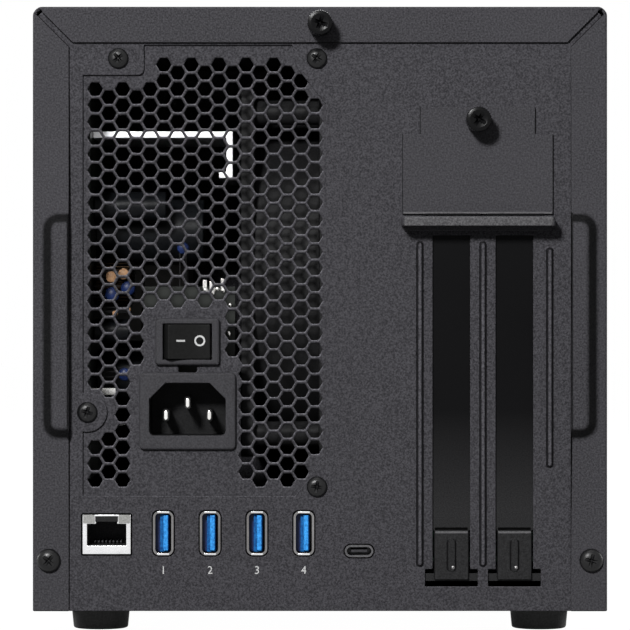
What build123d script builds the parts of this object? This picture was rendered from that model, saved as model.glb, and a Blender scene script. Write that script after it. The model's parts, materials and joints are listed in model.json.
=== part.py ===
"""External graphics card enclosure: a folded steel box with a desktop power supply,
a card bay with two covered slots, a socket board and two fans.

Millimetres. X runs to the right and Z up as seen from behind, Y runs from the rear to the front.
The origin is on the ground, below the middle of the box."""

import os
from math import atan, cos, degrees, pi, radians, sin, sqrt

from build123d import *

# Overall box
width = 185.0
height = 202.0
depth = 340.0
sheet = 1.0
foot_height = 7.3
rear_reach = 10.0  # how far the thumbscrews stand out behind the cover
slip = 0.4  # room between the cover and what it slides over
fit = 0.2  # room around what passes through a cut-out
running_fit = 0.05  # radial room around what turns

# Cover
cover_bend = 3.0
cover_edge_bend = 0.9
flange_width = 11.7
mitre_gap = 1.5
corner_relief = 1.1
pull_height = 72.8
pull_width = 8.6
pull_raise = 3.0
pull_slope = 3.4
pull_corner = 5.4
pull_middle = 99.2
vent_rows = 3
vent_columns = 12
vent_slot_length = 34.0
vent_slot_width = 5.0
vent_pitch_y = 14.0
vent_pitch_z = 42.0
vent_middle_y = 30.0
vent_middle_z = 108.0

# Screws
thumb_radius = 4.1
thumb_neck = 3.2
thumb_neck_length = 1.6
thumb_notches = 16
thumb_notch = 0.5
screw_shank = 1.75
thumb_shank_length = 7.0
cover_screw_radius = 3.8
cover_screw_head = 2.3
cover_screw_inset = 5.2
cover_screw_height = 23.7
psu_screw_radius = 3.3
psu_screw_head = 1.9
cross_width = 0.9
cross_length = 3.6
cross_depth = 1.1

# Rear panel
panel_flange = 9.0
tray_flange = 12.0
tray_rear_flange = 6.0
bead_width = 2.4
bead_raise = 0.8
bead_bevel = 0.72
bead_low = 21.5
bead_high = 126.5
short_bead_low = 53.4
short_bead_high = 124.5
short_bead_shift = 1.2

# Card slots
slot_pitch = 20.32
slot_middle = 52.52
slot_width = 12.06
slot_low = 20.8
slot_high = 128.4
slot_foot_width = 17.0
slot_foot_low = 15.2
slot_cover_width = 18.4
slot_cover_sheet = 0.8
tongue_width = 11.2
tongue_high = 33.2
tongue_low = 17.4
tongue_rib_width = 2.6
tongue_rib_raise = 0.5
hood_width = 49.2
hood_top = 134.4
hood_lip = 3.2
hood_bend = 1.0
hood_reach = 9.6
hood_corner = 2.0
hood_foot = 4.6
retainer_middle = 50.8
retainer_width = 48.6
retainer_shoulder = 161.0
retainer_top = 169.7
retainer_tab_width = 37.2
retainer_screw_height = 165.3

# Power supply
psu_width = 86.0
psu_height = 150.0
psu_depth = 140.0
psu_sheet = 0.8
psu_inset = 11.5
psu_drop = 10.6
screw_edge = 6.0
screw_drop_right = 138.0  # standard screw pattern, from the upper right screw
screw_span_top = 64.0
screw_span_left = 74.0
screw_drop_left = 114.0
screw_bite = 3.0  # how far a screw reaches past the last sheet
hex_flat = 4.25
hex_row_pitch = 5.254
hex_column_pitch = 4.43
hex_columns = 17
hex_first_column = 8.5
hex_first_row = 8.0
hex_rows = 26
hex_border = 0.6
plain_border = 3.2  # plain sheet round the switch and the inlet
window_left = 4.6
window_right = 3.1
window_low = 3.0
window_high = 1.7
ear_corner = 2.0
ear_radius = 6.4
ear_border = 4.4  # plain sheet beside the slanted ears
top_ear_width = 19.7
top_ear_height = 9.7
side_ear_top = 10.9
side_ear_knee_width = 9.3
side_ear_knee_drop = 7.4
side_ear_height = 19.0
low_ear_width = 9.9
low_ear_height = 12.6
psu_fan_size = 120.0
psu_fan_thickness = 30.0
case_fan_thickness = 25.0
fan_flange = 4.4
fan_post = 4.0
fan_wall = 2.0
fan_corner = 4.0
fan_arm_width = 5.0
fan_arm_depth = 3.0
fan_rotor_gap = 1.0
fan_rotor_inset = 2.0
fan_hole_inset = 7.5
flat_head_radius = 3.2
psu_board_stand = 4.0
psu_board_margin = 8.0
psu_board_post = 6.0
psu_parts_gap = 6.0  # room behind the inlet
sink_drop = 28.3
sink_sheet = 2.2
sink_reach = 46.0
sink_turn = 15.4
sink_curl = 4.6
sink_length = 62.0
filter_board_width = 30.0
filter_board_low = 62.0
filter_board_high = 112.0
transformer_length = 40.0
transformer_width = 34.0
transformer_core = 14.0
transformer_height = 30.0
transformer_coil_length = 32.0
transformer_coil_width = 40.0
transformer_coil_corner = 5.0
transformer_ahead = 22.0
transformer_drop = 6.0
choke_radius = 8.0
choke_bore = 3.6
choke_length = 13.0
choke_drop = 3.0

# Switch and mains inlet, placed from the supply's lower left corner
inlet_x = 38.3
switch_z = 52.7
switch_width = 20.7
switch_height = 15.0
switch_bezel = 2.0
switch_body_depth = 16.0
switch_wall = 1.0
switch_corner = 1.0
switch_side = 1.0
rocker_width = 15.4
rocker_height = 11.2
rocker_face = 2.4
rocker_half_tilt = 10.0
rocker_pin = 1.2
rocker_back = 0.7  # of its radius
rocker_back_width = 4.0
rocker_wrap = 0.4  # radians that the round ends go on past the pivot
pin_seat = 0.5
pin_socket = 0.7
inlet_z = 30.35
inlet_width = 31.2
inlet_height = 24.9
inlet_flange = 1.8
inlet_corner = 1.6
cavity_width = 24.6
cavity_height = 16.9
cavity_rise = 0.6
cavity_depth = 16.0
cavity_chamfer = 5.2
cavity_wall = 1.3
pin_width = 2.0
pin_height = 4.0
pin_spread = 7.0
pin_drop = 2.0
earth_rise = 2.0
pin_point = 0.4
rim_chamfer = 0.5
notch_width = 6.0
notch_height = 2.0

# Board and sockets
board_top = 24.7
board_thickness = 1.6
board_margin = 10.0
board_length = 165.0
board_gap = 1.5
standoff_radius = 3.0
standoff_edge = 6.0
standoff_rear = 28.0
standoff_pin = 2.0
standoff_pin_rise = 1.2
network_x = -68.75
network_width = 15.6
network_height = 12.8
network_low = 25.6
network_depth = 21.0
network_wall = 1.5
network_sill = 2.8
jack_height = 7.0
latch_width = 6.8
latch_height = 2.2
insert_depth = 3.0
contact_count = 8
contact_pitch = 1.2
contact_width = 0.5
contact_height = 0.6
contact_rise = 0.8
contact_length = 9.0
data_first = -50.5
data_pitch = 15.1
data_count = 4
data_width = 6.6
data_height = 14.2
data_low = 25.3
data_depth = 17.0
data_wall = 0.5
data_corner = 1.3
data_tongue = 2.0
data_tongue_shift = 0.9
data_tongue_margin = 0.8
data_tongue_back = 1.0
small_x = 12.6
small_width = 9.2
small_height = 3.9
small_depth = 9.0
small_wall = 0.45
small_tongue = 0.8
small_tongue_back = 0.8
slot_connector_x = 33.4
slot_connector_width = 7.5
slot_connector_length = 89.6
slot_connector_height = 11.2
slot_connector_rear = 48.0
card_groove = 1.8
card_groove_depth = 8.0
card_groove_end = 2.0
card_key = 1.6
card_key_place = 13.5
latch_seat = 8.0
latch_axis_ahead = 4.0
latch_axis_rise = 4.5
latch_length = 9.0
latch_thickness = 4.0
latch_half_foot = 2.2
latch_lip = 2.0
latch_rise = 4.0
latch_pin = 1.0

# Front, fans and feet
front_depth = 8.0
front_sheet = 1.0
front_gap = 0.3
case_fan_size = 120.0
case_fan_height = 104.6
grille_bars = 9
grille_bar = 3.0
top_tab = 120.0
low_tab = 160.0
side_tab_low = 60.0
side_tab_high = 150.0
tab_reach = 10.0
fan_blades = 7
fan_hub = 20.0
fan_clearance = 1.2
fan_shaft = 2.0
blade_thickness = 1.4
blade_chord = 27.0
blade_pitch = 34.0
blade_root = 1.5
foot_radius = 9.6
foot_taper = 0.7
foot_x = 72.0
foot_inset = 25.0

half = width / 2
cover_rear = -depth / 2 + rear_reach
panel_rear = cover_rear + sheet
panel_front = panel_rear + sheet
front_face = depth / 2
front_in = front_face - front_sheet
front_edge = front_face - front_depth
cover_front = front_edge - front_gap
floor_top = foot_height + sheet
inner_half = half - sheet - slip
panel_top = height - sheet - slip
psu_left = -half + psu_inset
psu_right = psu_left + psu_width
psu_top = height - psu_drop
psu_bottom = psu_top - psu_height
psu_front = panel_front + psu_depth
psu_wall_in = panel_front + psu_sheet
thumb_height = height - flange_width / 2
retainer_rear = panel_rear - sheet
slot_centres = (slot_middle - slot_pitch / 2, slot_middle + slot_pitch / 2)
psu_screw_places = [
    (psu_right - screw_edge, psu_top - screw_edge),
    (psu_right - screw_edge, psu_top - screw_edge - screw_drop_right),
    (psu_right - screw_edge - screw_span_top, psu_top - screw_edge),
    (psu_right - screw_edge - screw_span_left, psu_top - screw_edge - screw_drop_left),
]
cover_screw_places = [
    (side * (half - cover_screw_inset), cover_screw_height) for side in (-1, 1)
]
pieces = {}


def upright(y):
    """A plane across the box at this depth, seen from behind: local x is X, local y is Z."""
    return Plane.XZ.offset(-y)


def rear_box(x0, x1, z0, z1):
    """A rectangle between two corners of an upright plane."""
    with Locations(((x0 + x1) / 2, (z0 + z1) / 2)):
        Rectangle(x1 - x0, z1 - z0)


# Outer cover: inverted U with mitred flanges and two finger pulls at the rear
with BuildPart() as outer_cover:
    with BuildSketch(upright(cover_rear)) as cover_section:
        rear_box(-half, half, foot_height, height)
        fillet(cover_section.vertices().group_by(Axis.Y)[-1], cover_bend)
    extrude(amount=cover_rear - cover_front)
    with BuildSketch(upright(cover_rear)) as cover_hollow:
        rear_box(-half + sheet, half - sheet, foot_height, height - sheet)
        fillet(cover_hollow.vertices().group_by(Axis.Y)[-1], cover_bend - sheet)
    extrude(amount=cover_rear - cover_front, mode=Mode.SUBTRACT)
    with BuildSketch(upright(cover_rear)) as cover_flange:
        rear_box(-half, half, foot_height, height)
        fillet(cover_flange.vertices().group_by(Axis.Y)[-1], cover_bend)
        with Locations((0, (height - flange_width) / 2)):
            Rectangle(width - 2 * flange_width, height - flange_width, mode=Mode.SUBTRACT)
    extrude(amount=-sheet)
    cover_outline = (
        outer_cover.faces().sort_by(Axis.Y)[0].outer_wire().edges()
    )
    fillet(
        [e for e in cover_outline if abs(e.center().X) > half - sheet or e.center().Z > height - cover_bend],
        cover_edge_bend,
    )
    with BuildSketch(upright(cover_rear)):
        for side in (-1, 1):
            with Locations((side * (half - flange_width / 2), height - flange_width / 2)):
                Rectangle(flange_width * 1.5 + mitre_gap, mitre_gap, rotation=45 * side)
            with Locations((side * (half - 2 * sheet), height - 2 * sheet)):
                Circle(corner_relief)
    extrude(amount=-sheet * 1.02, mode=Mode.SUBTRACT)
    with BuildSketch(upright(cover_rear)):
        for side in (-1, 1):
            with Locations((side * (half - flange_width), pull_middle)):
                RectangleRounded(2 * pull_width, pull_height, pull_corner)
    extrude(amount=pull_raise, taper=degrees(atan(pull_slope / pull_raise)))
    with BuildSketch(upright(cover_rear + sheet)):
        for side in (-1, 1):
            with Locations((side * (half - flange_width), pull_middle)):
                RectangleRounded(2 * pull_width, pull_height, pull_corner)
    extrude(
        amount=pull_raise,
        taper=degrees(atan(pull_slope / pull_raise)),
        mode=Mode.SUBTRACT,
    )
    with BuildSketch(upright(cover_rear + sheet)):
        with Locations((0, pull_middle)):
            Rectangle(width - 2 * flange_width, pull_height + sheet)
    extrude(amount=pull_raise + 2 * sheet, mode=Mode.SUBTRACT)
    with BuildSketch(upright(cover_rear)):
        with Locations((0, thumb_height), *cover_screw_places):
            Circle(screw_shank + running_fit)
    extrude(amount=-sheet, mode=Mode.SUBTRACT)
    with BuildSketch(Plane.YZ.offset(half - sheet)):
        with Locations((vent_middle_y, vent_middle_z)):
            with GridLocations(vent_pitch_y, vent_pitch_z, vent_columns, vent_rows):
                Rectangle(vent_slot_width, vent_slot_length)
    extrude(amount=sheet, mode=Mode.SUBTRACT)
pieces["outer_cover"] = outer_cover

# Base tray: floor with turned-up edges
with BuildPart() as base_tray:
    with BuildSketch(upright(panel_front)):
        rear_box(-inner_half, inner_half, foot_height, floor_top)
        for side in (-1, 1):
            edge = sorted((side * inner_half, side * (inner_half - sheet)))
            rear_box(*edge, foot_height, floor_top + tray_flange)
    extrude(amount=panel_front - cover_front)
    with BuildSketch(upright(panel_front)):
        rear_box(-inner_half, inner_half, foot_height, floor_top + tray_rear_flange)
    extrude(amount=-sheet)
pieces["base_tray"] = base_tray

# Rear panel: window for the power supply, slots, beads and socket holes
window_x0 = psu_left + window_left
window_x1 = psu_right - window_right
window_z0 = psu_bottom + window_low
window_z1 = psu_top - window_high
bead_lines = [
    (slot_middle - slot_pitch, bead_low, bead_high),
    (slot_middle, bead_low, bead_high),
    (slot_middle + slot_pitch + short_bead_shift, short_bead_low, short_bead_high),
]
data_centres = [data_first + data_pitch * i for i in range(data_count)]
with BuildPart() as rear_panel:
    with BuildSketch(upright(panel_rear)) as panel_outline:
        rear_box(-inner_half, inner_half, foot_height, panel_top)
        fillet(panel_outline.vertices().group_by(Axis.Y)[-1], cover_bend)
    extrude(amount=-sheet)
    with BuildSketch(upright(panel_front)):
        rear_box(-inner_half + cover_bend, inner_half - cover_bend, panel_top - sheet, panel_top)
        for side in (-1, 1):
            edge = sorted((side * inner_half, side * (inner_half - sheet)))
            rear_box(*edge, floor_top + tray_flange, panel_top - cover_bend)
    extrude(amount=-panel_flange)
    with BuildSketch(upright(panel_rear)):
        rear_box(window_x0, window_x1, window_z0, window_z1)
        with BuildSketch(mode=Mode.PRIVATE) as top_ear:
            rear_box(window_x0, window_x0 + top_ear_width, window_z1 - top_ear_height, window_z1)
            fillet(top_ear.vertices().sort_by(Axis.X)[-2:].sort_by(Axis.Y)[0], ear_corner)
        add(top_ear.sketch, mode=Mode.SUBTRACT)
        with BuildLine():
            Polyline(
                (window_x1 - side_ear_top, window_z1),
                (window_x1 - side_ear_knee_width, window_z1 - side_ear_knee_drop),
                (window_x1, window_z1 - side_ear_height),
                (window_x1, window_z1),
                close=True,
            )
        make_face(mode=Mode.SUBTRACT)
        with BuildLine():
            Polyline(
                (window_x1, window_z0 + low_ear_height),
                (window_x1 - low_ear_width, window_z0),
                (window_x1, window_z0),
                close=True,
            )
        make_face(mode=Mode.SUBTRACT)
        with Locations(psu_screw_places[3]):
            Circle(ear_radius, mode=Mode.SUBTRACT)
    extrude(amount=-sheet, mode=Mode.SUBTRACT)
    with BuildSketch(upright(panel_rear)):
        for x in slot_centres:
            rear_box(x - slot_width / 2, x + slot_width / 2, slot_foot_low, slot_high)
            rear_box(x - slot_foot_width / 2, x + slot_foot_width / 2, slot_foot_low, slot_low)
        rear_box(
            slot_middle - slot_pitch / 2 - slot_cover_width / 2 - fit,
            slot_middle + slot_pitch / 2 + slot_cover_width / 2 + fit,
            hood_top,
            hood_top + slot_cover_sheet + fit,
        )
        rear_box(
            network_x - network_width / 2 - fit,
            network_x + network_width / 2 + fit,
            network_low - fit,
            network_low + network_height + fit,
        )
        with Locations(*[(x, data_low + data_height / 2) for x in data_centres]):
            RectangleRounded(data_width + 2 * fit, data_height + 2 * fit, data_corner + fit)
        with Locations((small_x, board_top + small_height / 2)):
            SlotOverall(small_width + 2 * fit, small_height + 2 * fit)
        with Locations(
            (0, thumb_height),
            (retainer_middle, retainer_screw_height),
            *cover_screw_places,
            *psu_screw_places,
        ):
            Circle(screw_shank + running_fit)
    extrude(amount=-sheet, mode=Mode.SUBTRACT)
    with BuildSketch(upright(panel_rear)):
        for x, low, high in bead_lines:
            with Locations((x, (low + high) / 2)):
                SlotOverall(high - low, bead_width, rotation=90)
    extrude(amount=bead_raise)
    bead_tops = rear_panel.faces().filter_by(Plane.XZ).sort_by(Axis.Y)[: len(bead_lines)]
    chamfer(bead_tops.edges(), bead_bevel)
pieces["rear_panel"] = rear_panel

# Slot hood: ledge that the bent ends of the card brackets rest on
with BuildPart() as slot_hood:
    with BuildSketch(Plane.XY.offset(hood_top)) as hood_plan:
        with Locations((retainer_middle, panel_rear - hood_reach / 2)):
            Rectangle(hood_width, hood_reach)
        fillet(hood_plan.vertices().group_by(Axis.Y)[0], hood_corner)
    extrude(amount=-hood_lip)
    hood_rim = slot_hood.faces().sort_by(Axis.Z)[-1].edges().sort_by(Axis.Y)[:-1]
    fillet(hood_rim, hood_bend)
    with BuildSketch(Plane.XY.offset(hood_top - sheet)) as hood_inside:
        with Locations((retainer_middle, panel_rear - (hood_reach - sheet) / 2)):
            Rectangle(hood_width - 2 * sheet, hood_reach - sheet)
        fillet(hood_inside.vertices().group_by(Axis.Y)[0], hood_corner - sheet)
    extrude(amount=-hood_lip, mode=Mode.SUBTRACT)
    with BuildSketch(upright(panel_rear)):
        rear_box(
            retainer_middle - hood_width / 2 + sheet,
            retainer_middle + hood_width / 2 - sheet,
            hood_top - hood_foot,
            hood_top - sheet,
        )
    extrude(amount=sheet)
pieces["slot_hood"] = slot_hood

# Slot retainer: stepped plate that clamps the bent bracket ends
retainer_low = hood_top + slot_cover_sheet
with BuildPart() as slot_retainer:
    with BuildSketch(upright(panel_rear)) as retainer_outline:
        rear_box(
            retainer_middle - retainer_width / 2,
            retainer_middle + retainer_width / 2,
            retainer_low,
            retainer_shoulder,
        )
        rear_box(
            retainer_middle - retainer_tab_width / 2,
            retainer_middle + retainer_tab_width / 2,
            retainer_shoulder,
            retainer_top,
        )
        with Locations((retainer_middle, retainer_screw_height)):
            Circle(screw_shank + running_fit, mode=Mode.SUBTRACT)
    extrude(amount=sheet)
pieces["slot_retainer"] = slot_retainer


def slot_cover(x):
    """Blank cover behind one slot: strip, ribbed tongue below and bent end above."""
    strip_in = panel_front + slot_cover_sheet
    with BuildPart() as cover:
        with BuildSketch(upright(panel_front)):
            rear_box(
                x - slot_cover_width / 2,
                x + slot_cover_width / 2,
                tongue_high,
                hood_top + slot_cover_sheet,
            )
            rear_box(x - tongue_width / 2, x + tongue_width / 2, tongue_high - sheet, tongue_high)
        extrude(amount=-slot_cover_sheet)
        with BuildSketch(upright(panel_rear)):
            rear_box(x - tongue_width / 2, x + tongue_width / 2, tongue_low, tongue_high)
        extrude(amount=-slot_cover_sheet)
        with BuildSketch(upright(panel_rear)):
            rear_box(x - tongue_width / 2, x + tongue_width / 2, tongue_high - sheet, tongue_high)
        extrude(amount=panel_rear - strip_in)
        with BuildSketch(upright(panel_rear)):
            with Locations((x, (tongue_low + tongue_high) / 2)):
                SlotOverall(
                    tongue_high - tongue_low - 2 * tongue_rib_width, tongue_rib_width, rotation=90
                )
        extrude(amount=tongue_rib_raise)
        with BuildSketch(Plane.XY.offset(hood_top)):
            with Locations((x, (panel_rear - hood_reach + sheet + strip_in) / 2)):
                Rectangle(slot_cover_width, strip_in - panel_rear + hood_reach - sheet)
        extrude(amount=slot_cover_sheet)
    return cover


pieces["slot_cover_left"] = slot_cover(slot_centres[0])
pieces["slot_cover_right"] = slot_cover(slot_centres[1])


def thumbscrew(x, z, seat):
    """Knurled thumbscrew with a cross recess, standing out behind its seat."""
    with BuildPart() as screw:
        with BuildSketch(upright(seat)):
            with Locations((x, z)):
                Circle(thumb_neck)
        extrude(amount=thumb_neck_length)
        with BuildSketch(upright(seat - thumb_neck_length)):
            with Locations((x, z)):
                Circle(thumb_radius)
                with PolarLocations(thumb_radius, thumb_notches):
                    Rectangle(thumb_notch, thumb_notch, rotation=45, mode=Mode.SUBTRACT)
        extrude(amount=rear_reach - thumb_neck_length)
        with BuildSketch(upright(seat - rear_reach)):
            with Locations((x, z)):
                Rectangle(cross_width, cross_length)
                Rectangle(cross_length, cross_width)
        extrude(amount=-cross_depth, mode=Mode.SUBTRACT)
        with BuildSketch(upright(seat)):
            with Locations((x, z)):
                Circle(screw_shank)
        extrude(amount=-thumb_shank_length)
    return screw


pieces["cover_thumbscrew"] = thumbscrew(0, thumb_height, cover_rear)
pieces["slot_thumbscrew"] = thumbscrew(retainer_middle, retainer_screw_height, retainer_rear)


def pan_screws(places, seat, radius, head, shank_length):
    """Pan head screws with cross recesses whose heads sit on an upright face."""
    with BuildPart() as screws:
        with BuildSketch(upright(seat)):
            with Locations(*places):
                Circle(radius)
        extrude(amount=head)
        head_tops = screws.faces().filter_by(Plane.XZ).sort_by(Axis.Y)[: len(places)]
        chamfer(head_tops.edges(), head * 0.5)
        with BuildSketch(upright(seat - head)):
            with Locations(*places):
                Rectangle(cross_width, cross_length)
                Rectangle(cross_length, cross_width)
        extrude(amount=-cross_depth, mode=Mode.SUBTRACT)
        with BuildSketch(upright(seat)):
            with Locations(*places):
                Circle(screw_shank)
        extrude(amount=-shank_length)
    return screws


pieces["cover_screws"] = pan_screws(
    cover_screw_places, cover_rear, cover_screw_radius, cover_screw_head, thumb_shank_length
)
pieces["psu_screws"] = pan_screws(
    psu_screw_places, panel_rear, psu_screw_radius, psu_screw_head, sheet + psu_sheet + screw_bite
)

# Power supply case: honeycomb rear, left wall and front wall folded from one sheet
inlet_middle = psu_left + inlet_x
inlet_level = psu_bottom + inlet_z
cavity_level = inlet_level + cavity_rise
switch_level = psu_bottom + switch_z
hex_radius = hex_flat / sqrt(3)
switch_body_width = rocker_width + 2 * (switch_wall + switch_side)
switch_body_height = rocker_height + 2 * switch_wall
hex_margin = hex_radius + hex_border
plain_blocks = [
    (inlet_middle, inlet_width / 2 + plain_border, inlet_level + inlet_height / 2 + plain_border),
    (inlet_middle, switch_width / 2 + plain_border, switch_level + switch_height / 2 + plain_border),
]


def beside_ear(across, along, ear_width, ear_height):
    """Whether a point this far from a window corner lies on its slanted ear or beside it."""
    return across / (ear_width + ear_border) + along / (ear_height + ear_border) < 1


def hex_is_open(x, z):
    """Whether the honeycomb has a hole here: in the window, clear of its ears, the switch and the inlet."""
    if not window_x0 + hex_margin < x < window_x1 - hex_margin:
        return False
    if not window_z0 + hex_margin < z < window_z1 - hex_margin:
        return False
    if any(abs(x - middle) < reach and z < top for middle, reach, top in plain_blocks):
        return False
    if x < window_x0 + top_ear_width + hex_margin and z > window_z1 - top_ear_height - hex_margin:
        return False
    if beside_ear(window_x1 - x, window_z1 - z, side_ear_top, side_ear_height):
        return False
    if beside_ear(window_x1 - x, z - window_z0, low_ear_width, low_ear_height):
        return False
    ear_x, ear_z = psu_screw_places[3]
    return (x - ear_x) ** 2 + (z - ear_z) ** 2 > (ear_radius + hex_margin) ** 2


hex_centres = []
for column in range(hex_columns):
    column_x = psu_left + hex_first_column + column * hex_column_pitch
    column_top = psu_top - hex_first_row - (0 if column % 2 else hex_row_pitch / 2)
    for row in range(hex_rows):
        if hex_is_open(column_x, column_top - row * hex_row_pitch):
            hex_centres.append((column_x, column_top - row * hex_row_pitch))

with BuildPart() as psu_case:
    with BuildSketch(upright(panel_front)):
        rear_box(psu_left, psu_right, psu_bottom, psu_top)
        with Locations(*hex_centres):
            RegularPolygon(hex_radius, 6, mode=Mode.SUBTRACT)
        with Locations(*psu_screw_places):
            Circle(screw_shank + running_fit, mode=Mode.SUBTRACT)
        with Locations((inlet_middle, cavity_level)):
            Rectangle(
                cavity_width + 2 * cavity_wall + fit,
                cavity_height + 2 * cavity_wall + fit,
                mode=Mode.SUBTRACT,
            )
        with Locations((inlet_middle, switch_level)):
            Rectangle(
                switch_body_width + fit,
                switch_body_height + fit,
                mode=Mode.SUBTRACT,
            )
        with Locations((inlet_middle, inlet_level + inlet_height / 2 + notch_height / 2)):
            Rectangle(notch_width, notch_height, mode=Mode.SUBTRACT)
    extrude(amount=-psu_sheet)
    with BuildSketch(Plane.XY.offset(psu_bottom)):
        with Locations((psu_left + psu_sheet / 2, (panel_front + psu_front) / 2)):
            Rectangle(psu_sheet, psu_depth)
        with Locations(((psu_left + psu_right) / 2, psu_front - psu_sheet / 2)):
            Rectangle(psu_width, psu_sheet)
    extrude(amount=psu_height)
pieces["psu_case"] = psu_case


def fan_bars(radius):
    """Round opening crossed by upright bars, as a sketch to cut with."""
    pitch = 2 * radius / grille_bars
    with BuildSketch() as bars:
        Circle(radius)
        with GridLocations(pitch, 0, grille_bars - 1, 1):
            Rectangle(grille_bar, 2 * radius, mode=Mode.SUBTRACT)
    return bars.sketch


# Power supply lid: top, fan side and bottom folded from one sheet
psu_fan_radius = psu_fan_size / 2 - fan_wall
psu_fan_y = (panel_front + psu_front) / 2
psu_fan_z = (psu_bottom + psu_top) / 2
with BuildPart() as psu_lid:
    with BuildSketch(upright(psu_wall_in)):
        rear_box(psu_left + psu_sheet, psu_right, psu_bottom, psu_bottom + psu_sheet)
        rear_box(psu_left + psu_sheet, psu_right, psu_top - psu_sheet, psu_top)
        rear_box(psu_right - psu_sheet, psu_right, psu_bottom, psu_top)
    extrude(amount=psu_wall_in - psu_front + psu_sheet)
    with BuildSketch(Plane.YZ.offset(psu_right - psu_sheet)):
        with Locations((psu_fan_y, psu_fan_z)):
            add(fan_bars(psu_fan_radius))
    extrude(amount=psu_sheet, mode=Mode.SUBTRACT)
pieces["psu_lid"] = psu_lid

# Switch frame with a snap-in body behind the bezel
pivot_y = panel_front - switch_bezel + rocker_face
with BuildPart() as power_switch_frame:
    with BuildSketch(upright(panel_front)) as bezel:
        with Locations((inlet_middle, switch_level)):
            RectangleRounded(switch_width, switch_height, switch_corner)
    extrude(amount=switch_bezel)
    bezel_rim = power_switch_frame.faces().sort_by(Axis.Y)[0].edges()
    chamfer(bezel_rim, rim_chamfer)
    with BuildSketch(upright(panel_front)):
        with Locations((inlet_middle, switch_level)):
            Rectangle(switch_body_width, switch_body_height)
    extrude(amount=-switch_body_depth)
    with BuildSketch(upright(panel_front - switch_bezel)):
        with Locations((inlet_middle, switch_level)):
            Rectangle(rocker_width + 2 * fit, rocker_height + 2 * fit)
    extrude(amount=-switch_body_depth - switch_bezel + switch_wall, mode=Mode.SUBTRACT)
    with BuildSketch(Plane.XY.offset(switch_level)):
        with Locations((inlet_middle, pivot_y)):
            Circle(rocker_pin + running_fit)
    extrude(amount=rocker_height / 2 + fit + pin_socket, both=True, mode=Mode.SUBTRACT)
pieces["power_switch_frame"] = power_switch_frame

# Rocker: shallow V face with round ends about the pivot, tipped to its off side at rest
rocker_radius = rocker_width / 2
end_rise = rocker_face + rocker_radius * sin(radians(rocker_half_tilt))
end_reach = sqrt(rocker_radius**2 - end_rise**2)
wrap_reach = rocker_radius * cos(rocker_wrap)
wrap_depth = rocker_radius * sin(rocker_wrap)
back_depth = rocker_radius * rocker_back
back_half = rocker_back_width / 2
rocker_plane = Plane(
    origin=(inlet_middle, pivot_y, switch_level - rocker_height / 2),
    x_dir=(cos(radians(rocker_half_tilt)), sin(radians(rocker_half_tilt)), 0),
    z_dir=(0, 0, 1),
)
with BuildPart() as power_switch_rocker:
    with BuildSketch(rocker_plane):
        with BuildLine():
            Polyline((-end_reach, -end_rise), (0, -rocker_face), (end_reach, -end_rise))
            ThreePointArc((end_reach, -end_rise), (rocker_radius, 0), (wrap_reach, wrap_depth))
            Polyline(
                (wrap_reach, wrap_depth),
                (back_half, back_depth),
                (-back_half, back_depth),
                (-wrap_reach, wrap_depth),
            )
            ThreePointArc((-wrap_reach, wrap_depth), (-rocker_radius, 0), (-end_reach, -end_rise))
        make_face()
    extrude(amount=rocker_height)
    with BuildSketch(Plane.XY.offset(switch_level)):
        with Locations((inlet_middle, pivot_y)):
            Circle(rocker_pin)
    extrude(amount=rocker_height / 2 + fit + pin_seat, both=True)
pieces["power_switch_rocker"] = power_switch_rocker

# Mains inlet: flanged moulding with a deep cavity, and its three pins
with BuildPart() as mains_inlet:
    with BuildSketch(upright(panel_front)):
        with Locations((inlet_middle, inlet_level)):
            RectangleRounded(inlet_width, inlet_height, inlet_corner)
    extrude(amount=inlet_flange)
    chamfer(mains_inlet.faces().sort_by(Axis.Y)[0].edges(), rim_chamfer)
    with BuildSketch(upright(panel_front)):
        with Locations((inlet_middle, cavity_level)):
            Rectangle(cavity_width + 2 * cavity_wall, cavity_height + 2 * cavity_wall)
    extrude(amount=-cavity_depth)
    with BuildSketch(upright(panel_front - inlet_flange)) as cavity:
        with Locations((inlet_middle, cavity_level)):
            Rectangle(cavity_width, cavity_height)
        chamfer(cavity.vertices().group_by(Axis.Y)[-1], cavity_chamfer)
        fillet(cavity.vertices().group_by(Axis.Y)[0], inlet_corner)
    extrude(amount=-cavity_depth, mode=Mode.SUBTRACT)
pieces["mains_inlet"] = mains_inlet

cavity_back = panel_front - inlet_flange + cavity_depth
pin_places = [
    (inlet_middle - pin_spread, cavity_level - pin_drop),
    (inlet_middle, cavity_level + earth_rise),
    (inlet_middle + pin_spread, cavity_level - pin_drop),
]
with BuildPart() as mains_inlet_pins:
    with BuildSketch(upright(cavity_back)):
        with Locations(*pin_places):
            Rectangle(pin_width, pin_height)
    extrude(amount=cavity_depth - inlet_flange)
    pin_ends = mains_inlet_pins.faces().filter_by(Plane.XZ).sort_by(Axis.Y)[: len(pin_places)]
    chamfer(pin_ends.edges(), pin_point)
pieces["mains_inlet_pins"] = mains_inlet_pins

# Inside the supply: circuit board on the left wall and what stands on it
psu_board_x = psu_left + psu_sheet + psu_board_stand
psu_board_face = psu_board_x + board_thickness
psu_parts_rear = psu_wall_in + cavity_depth + psu_parts_gap
psu_board_length = psu_depth - 2 * psu_board_margin
psu_board_height = psu_height - 2 * psu_board_margin
with BuildPart() as psu_circuit_board:
    with BuildSketch(Plane.YZ.offset(psu_board_x)):
        with Locations((psu_fan_y, psu_fan_z)):
            Rectangle(psu_board_length, psu_board_height)
    extrude(amount=board_thickness)
    with BuildSketch(Plane.YZ.offset(psu_board_x)):
        with Locations((psu_fan_y, psu_fan_z)):
            with GridLocations(psu_board_length - psu_board_post, psu_board_height - psu_board_post, 2, 2):
                Rectangle(psu_board_post, psu_board_post)
    extrude(amount=psu_left + psu_sheet - psu_board_x)
pieces["psu_circuit_board"] = psu_circuit_board

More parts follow.
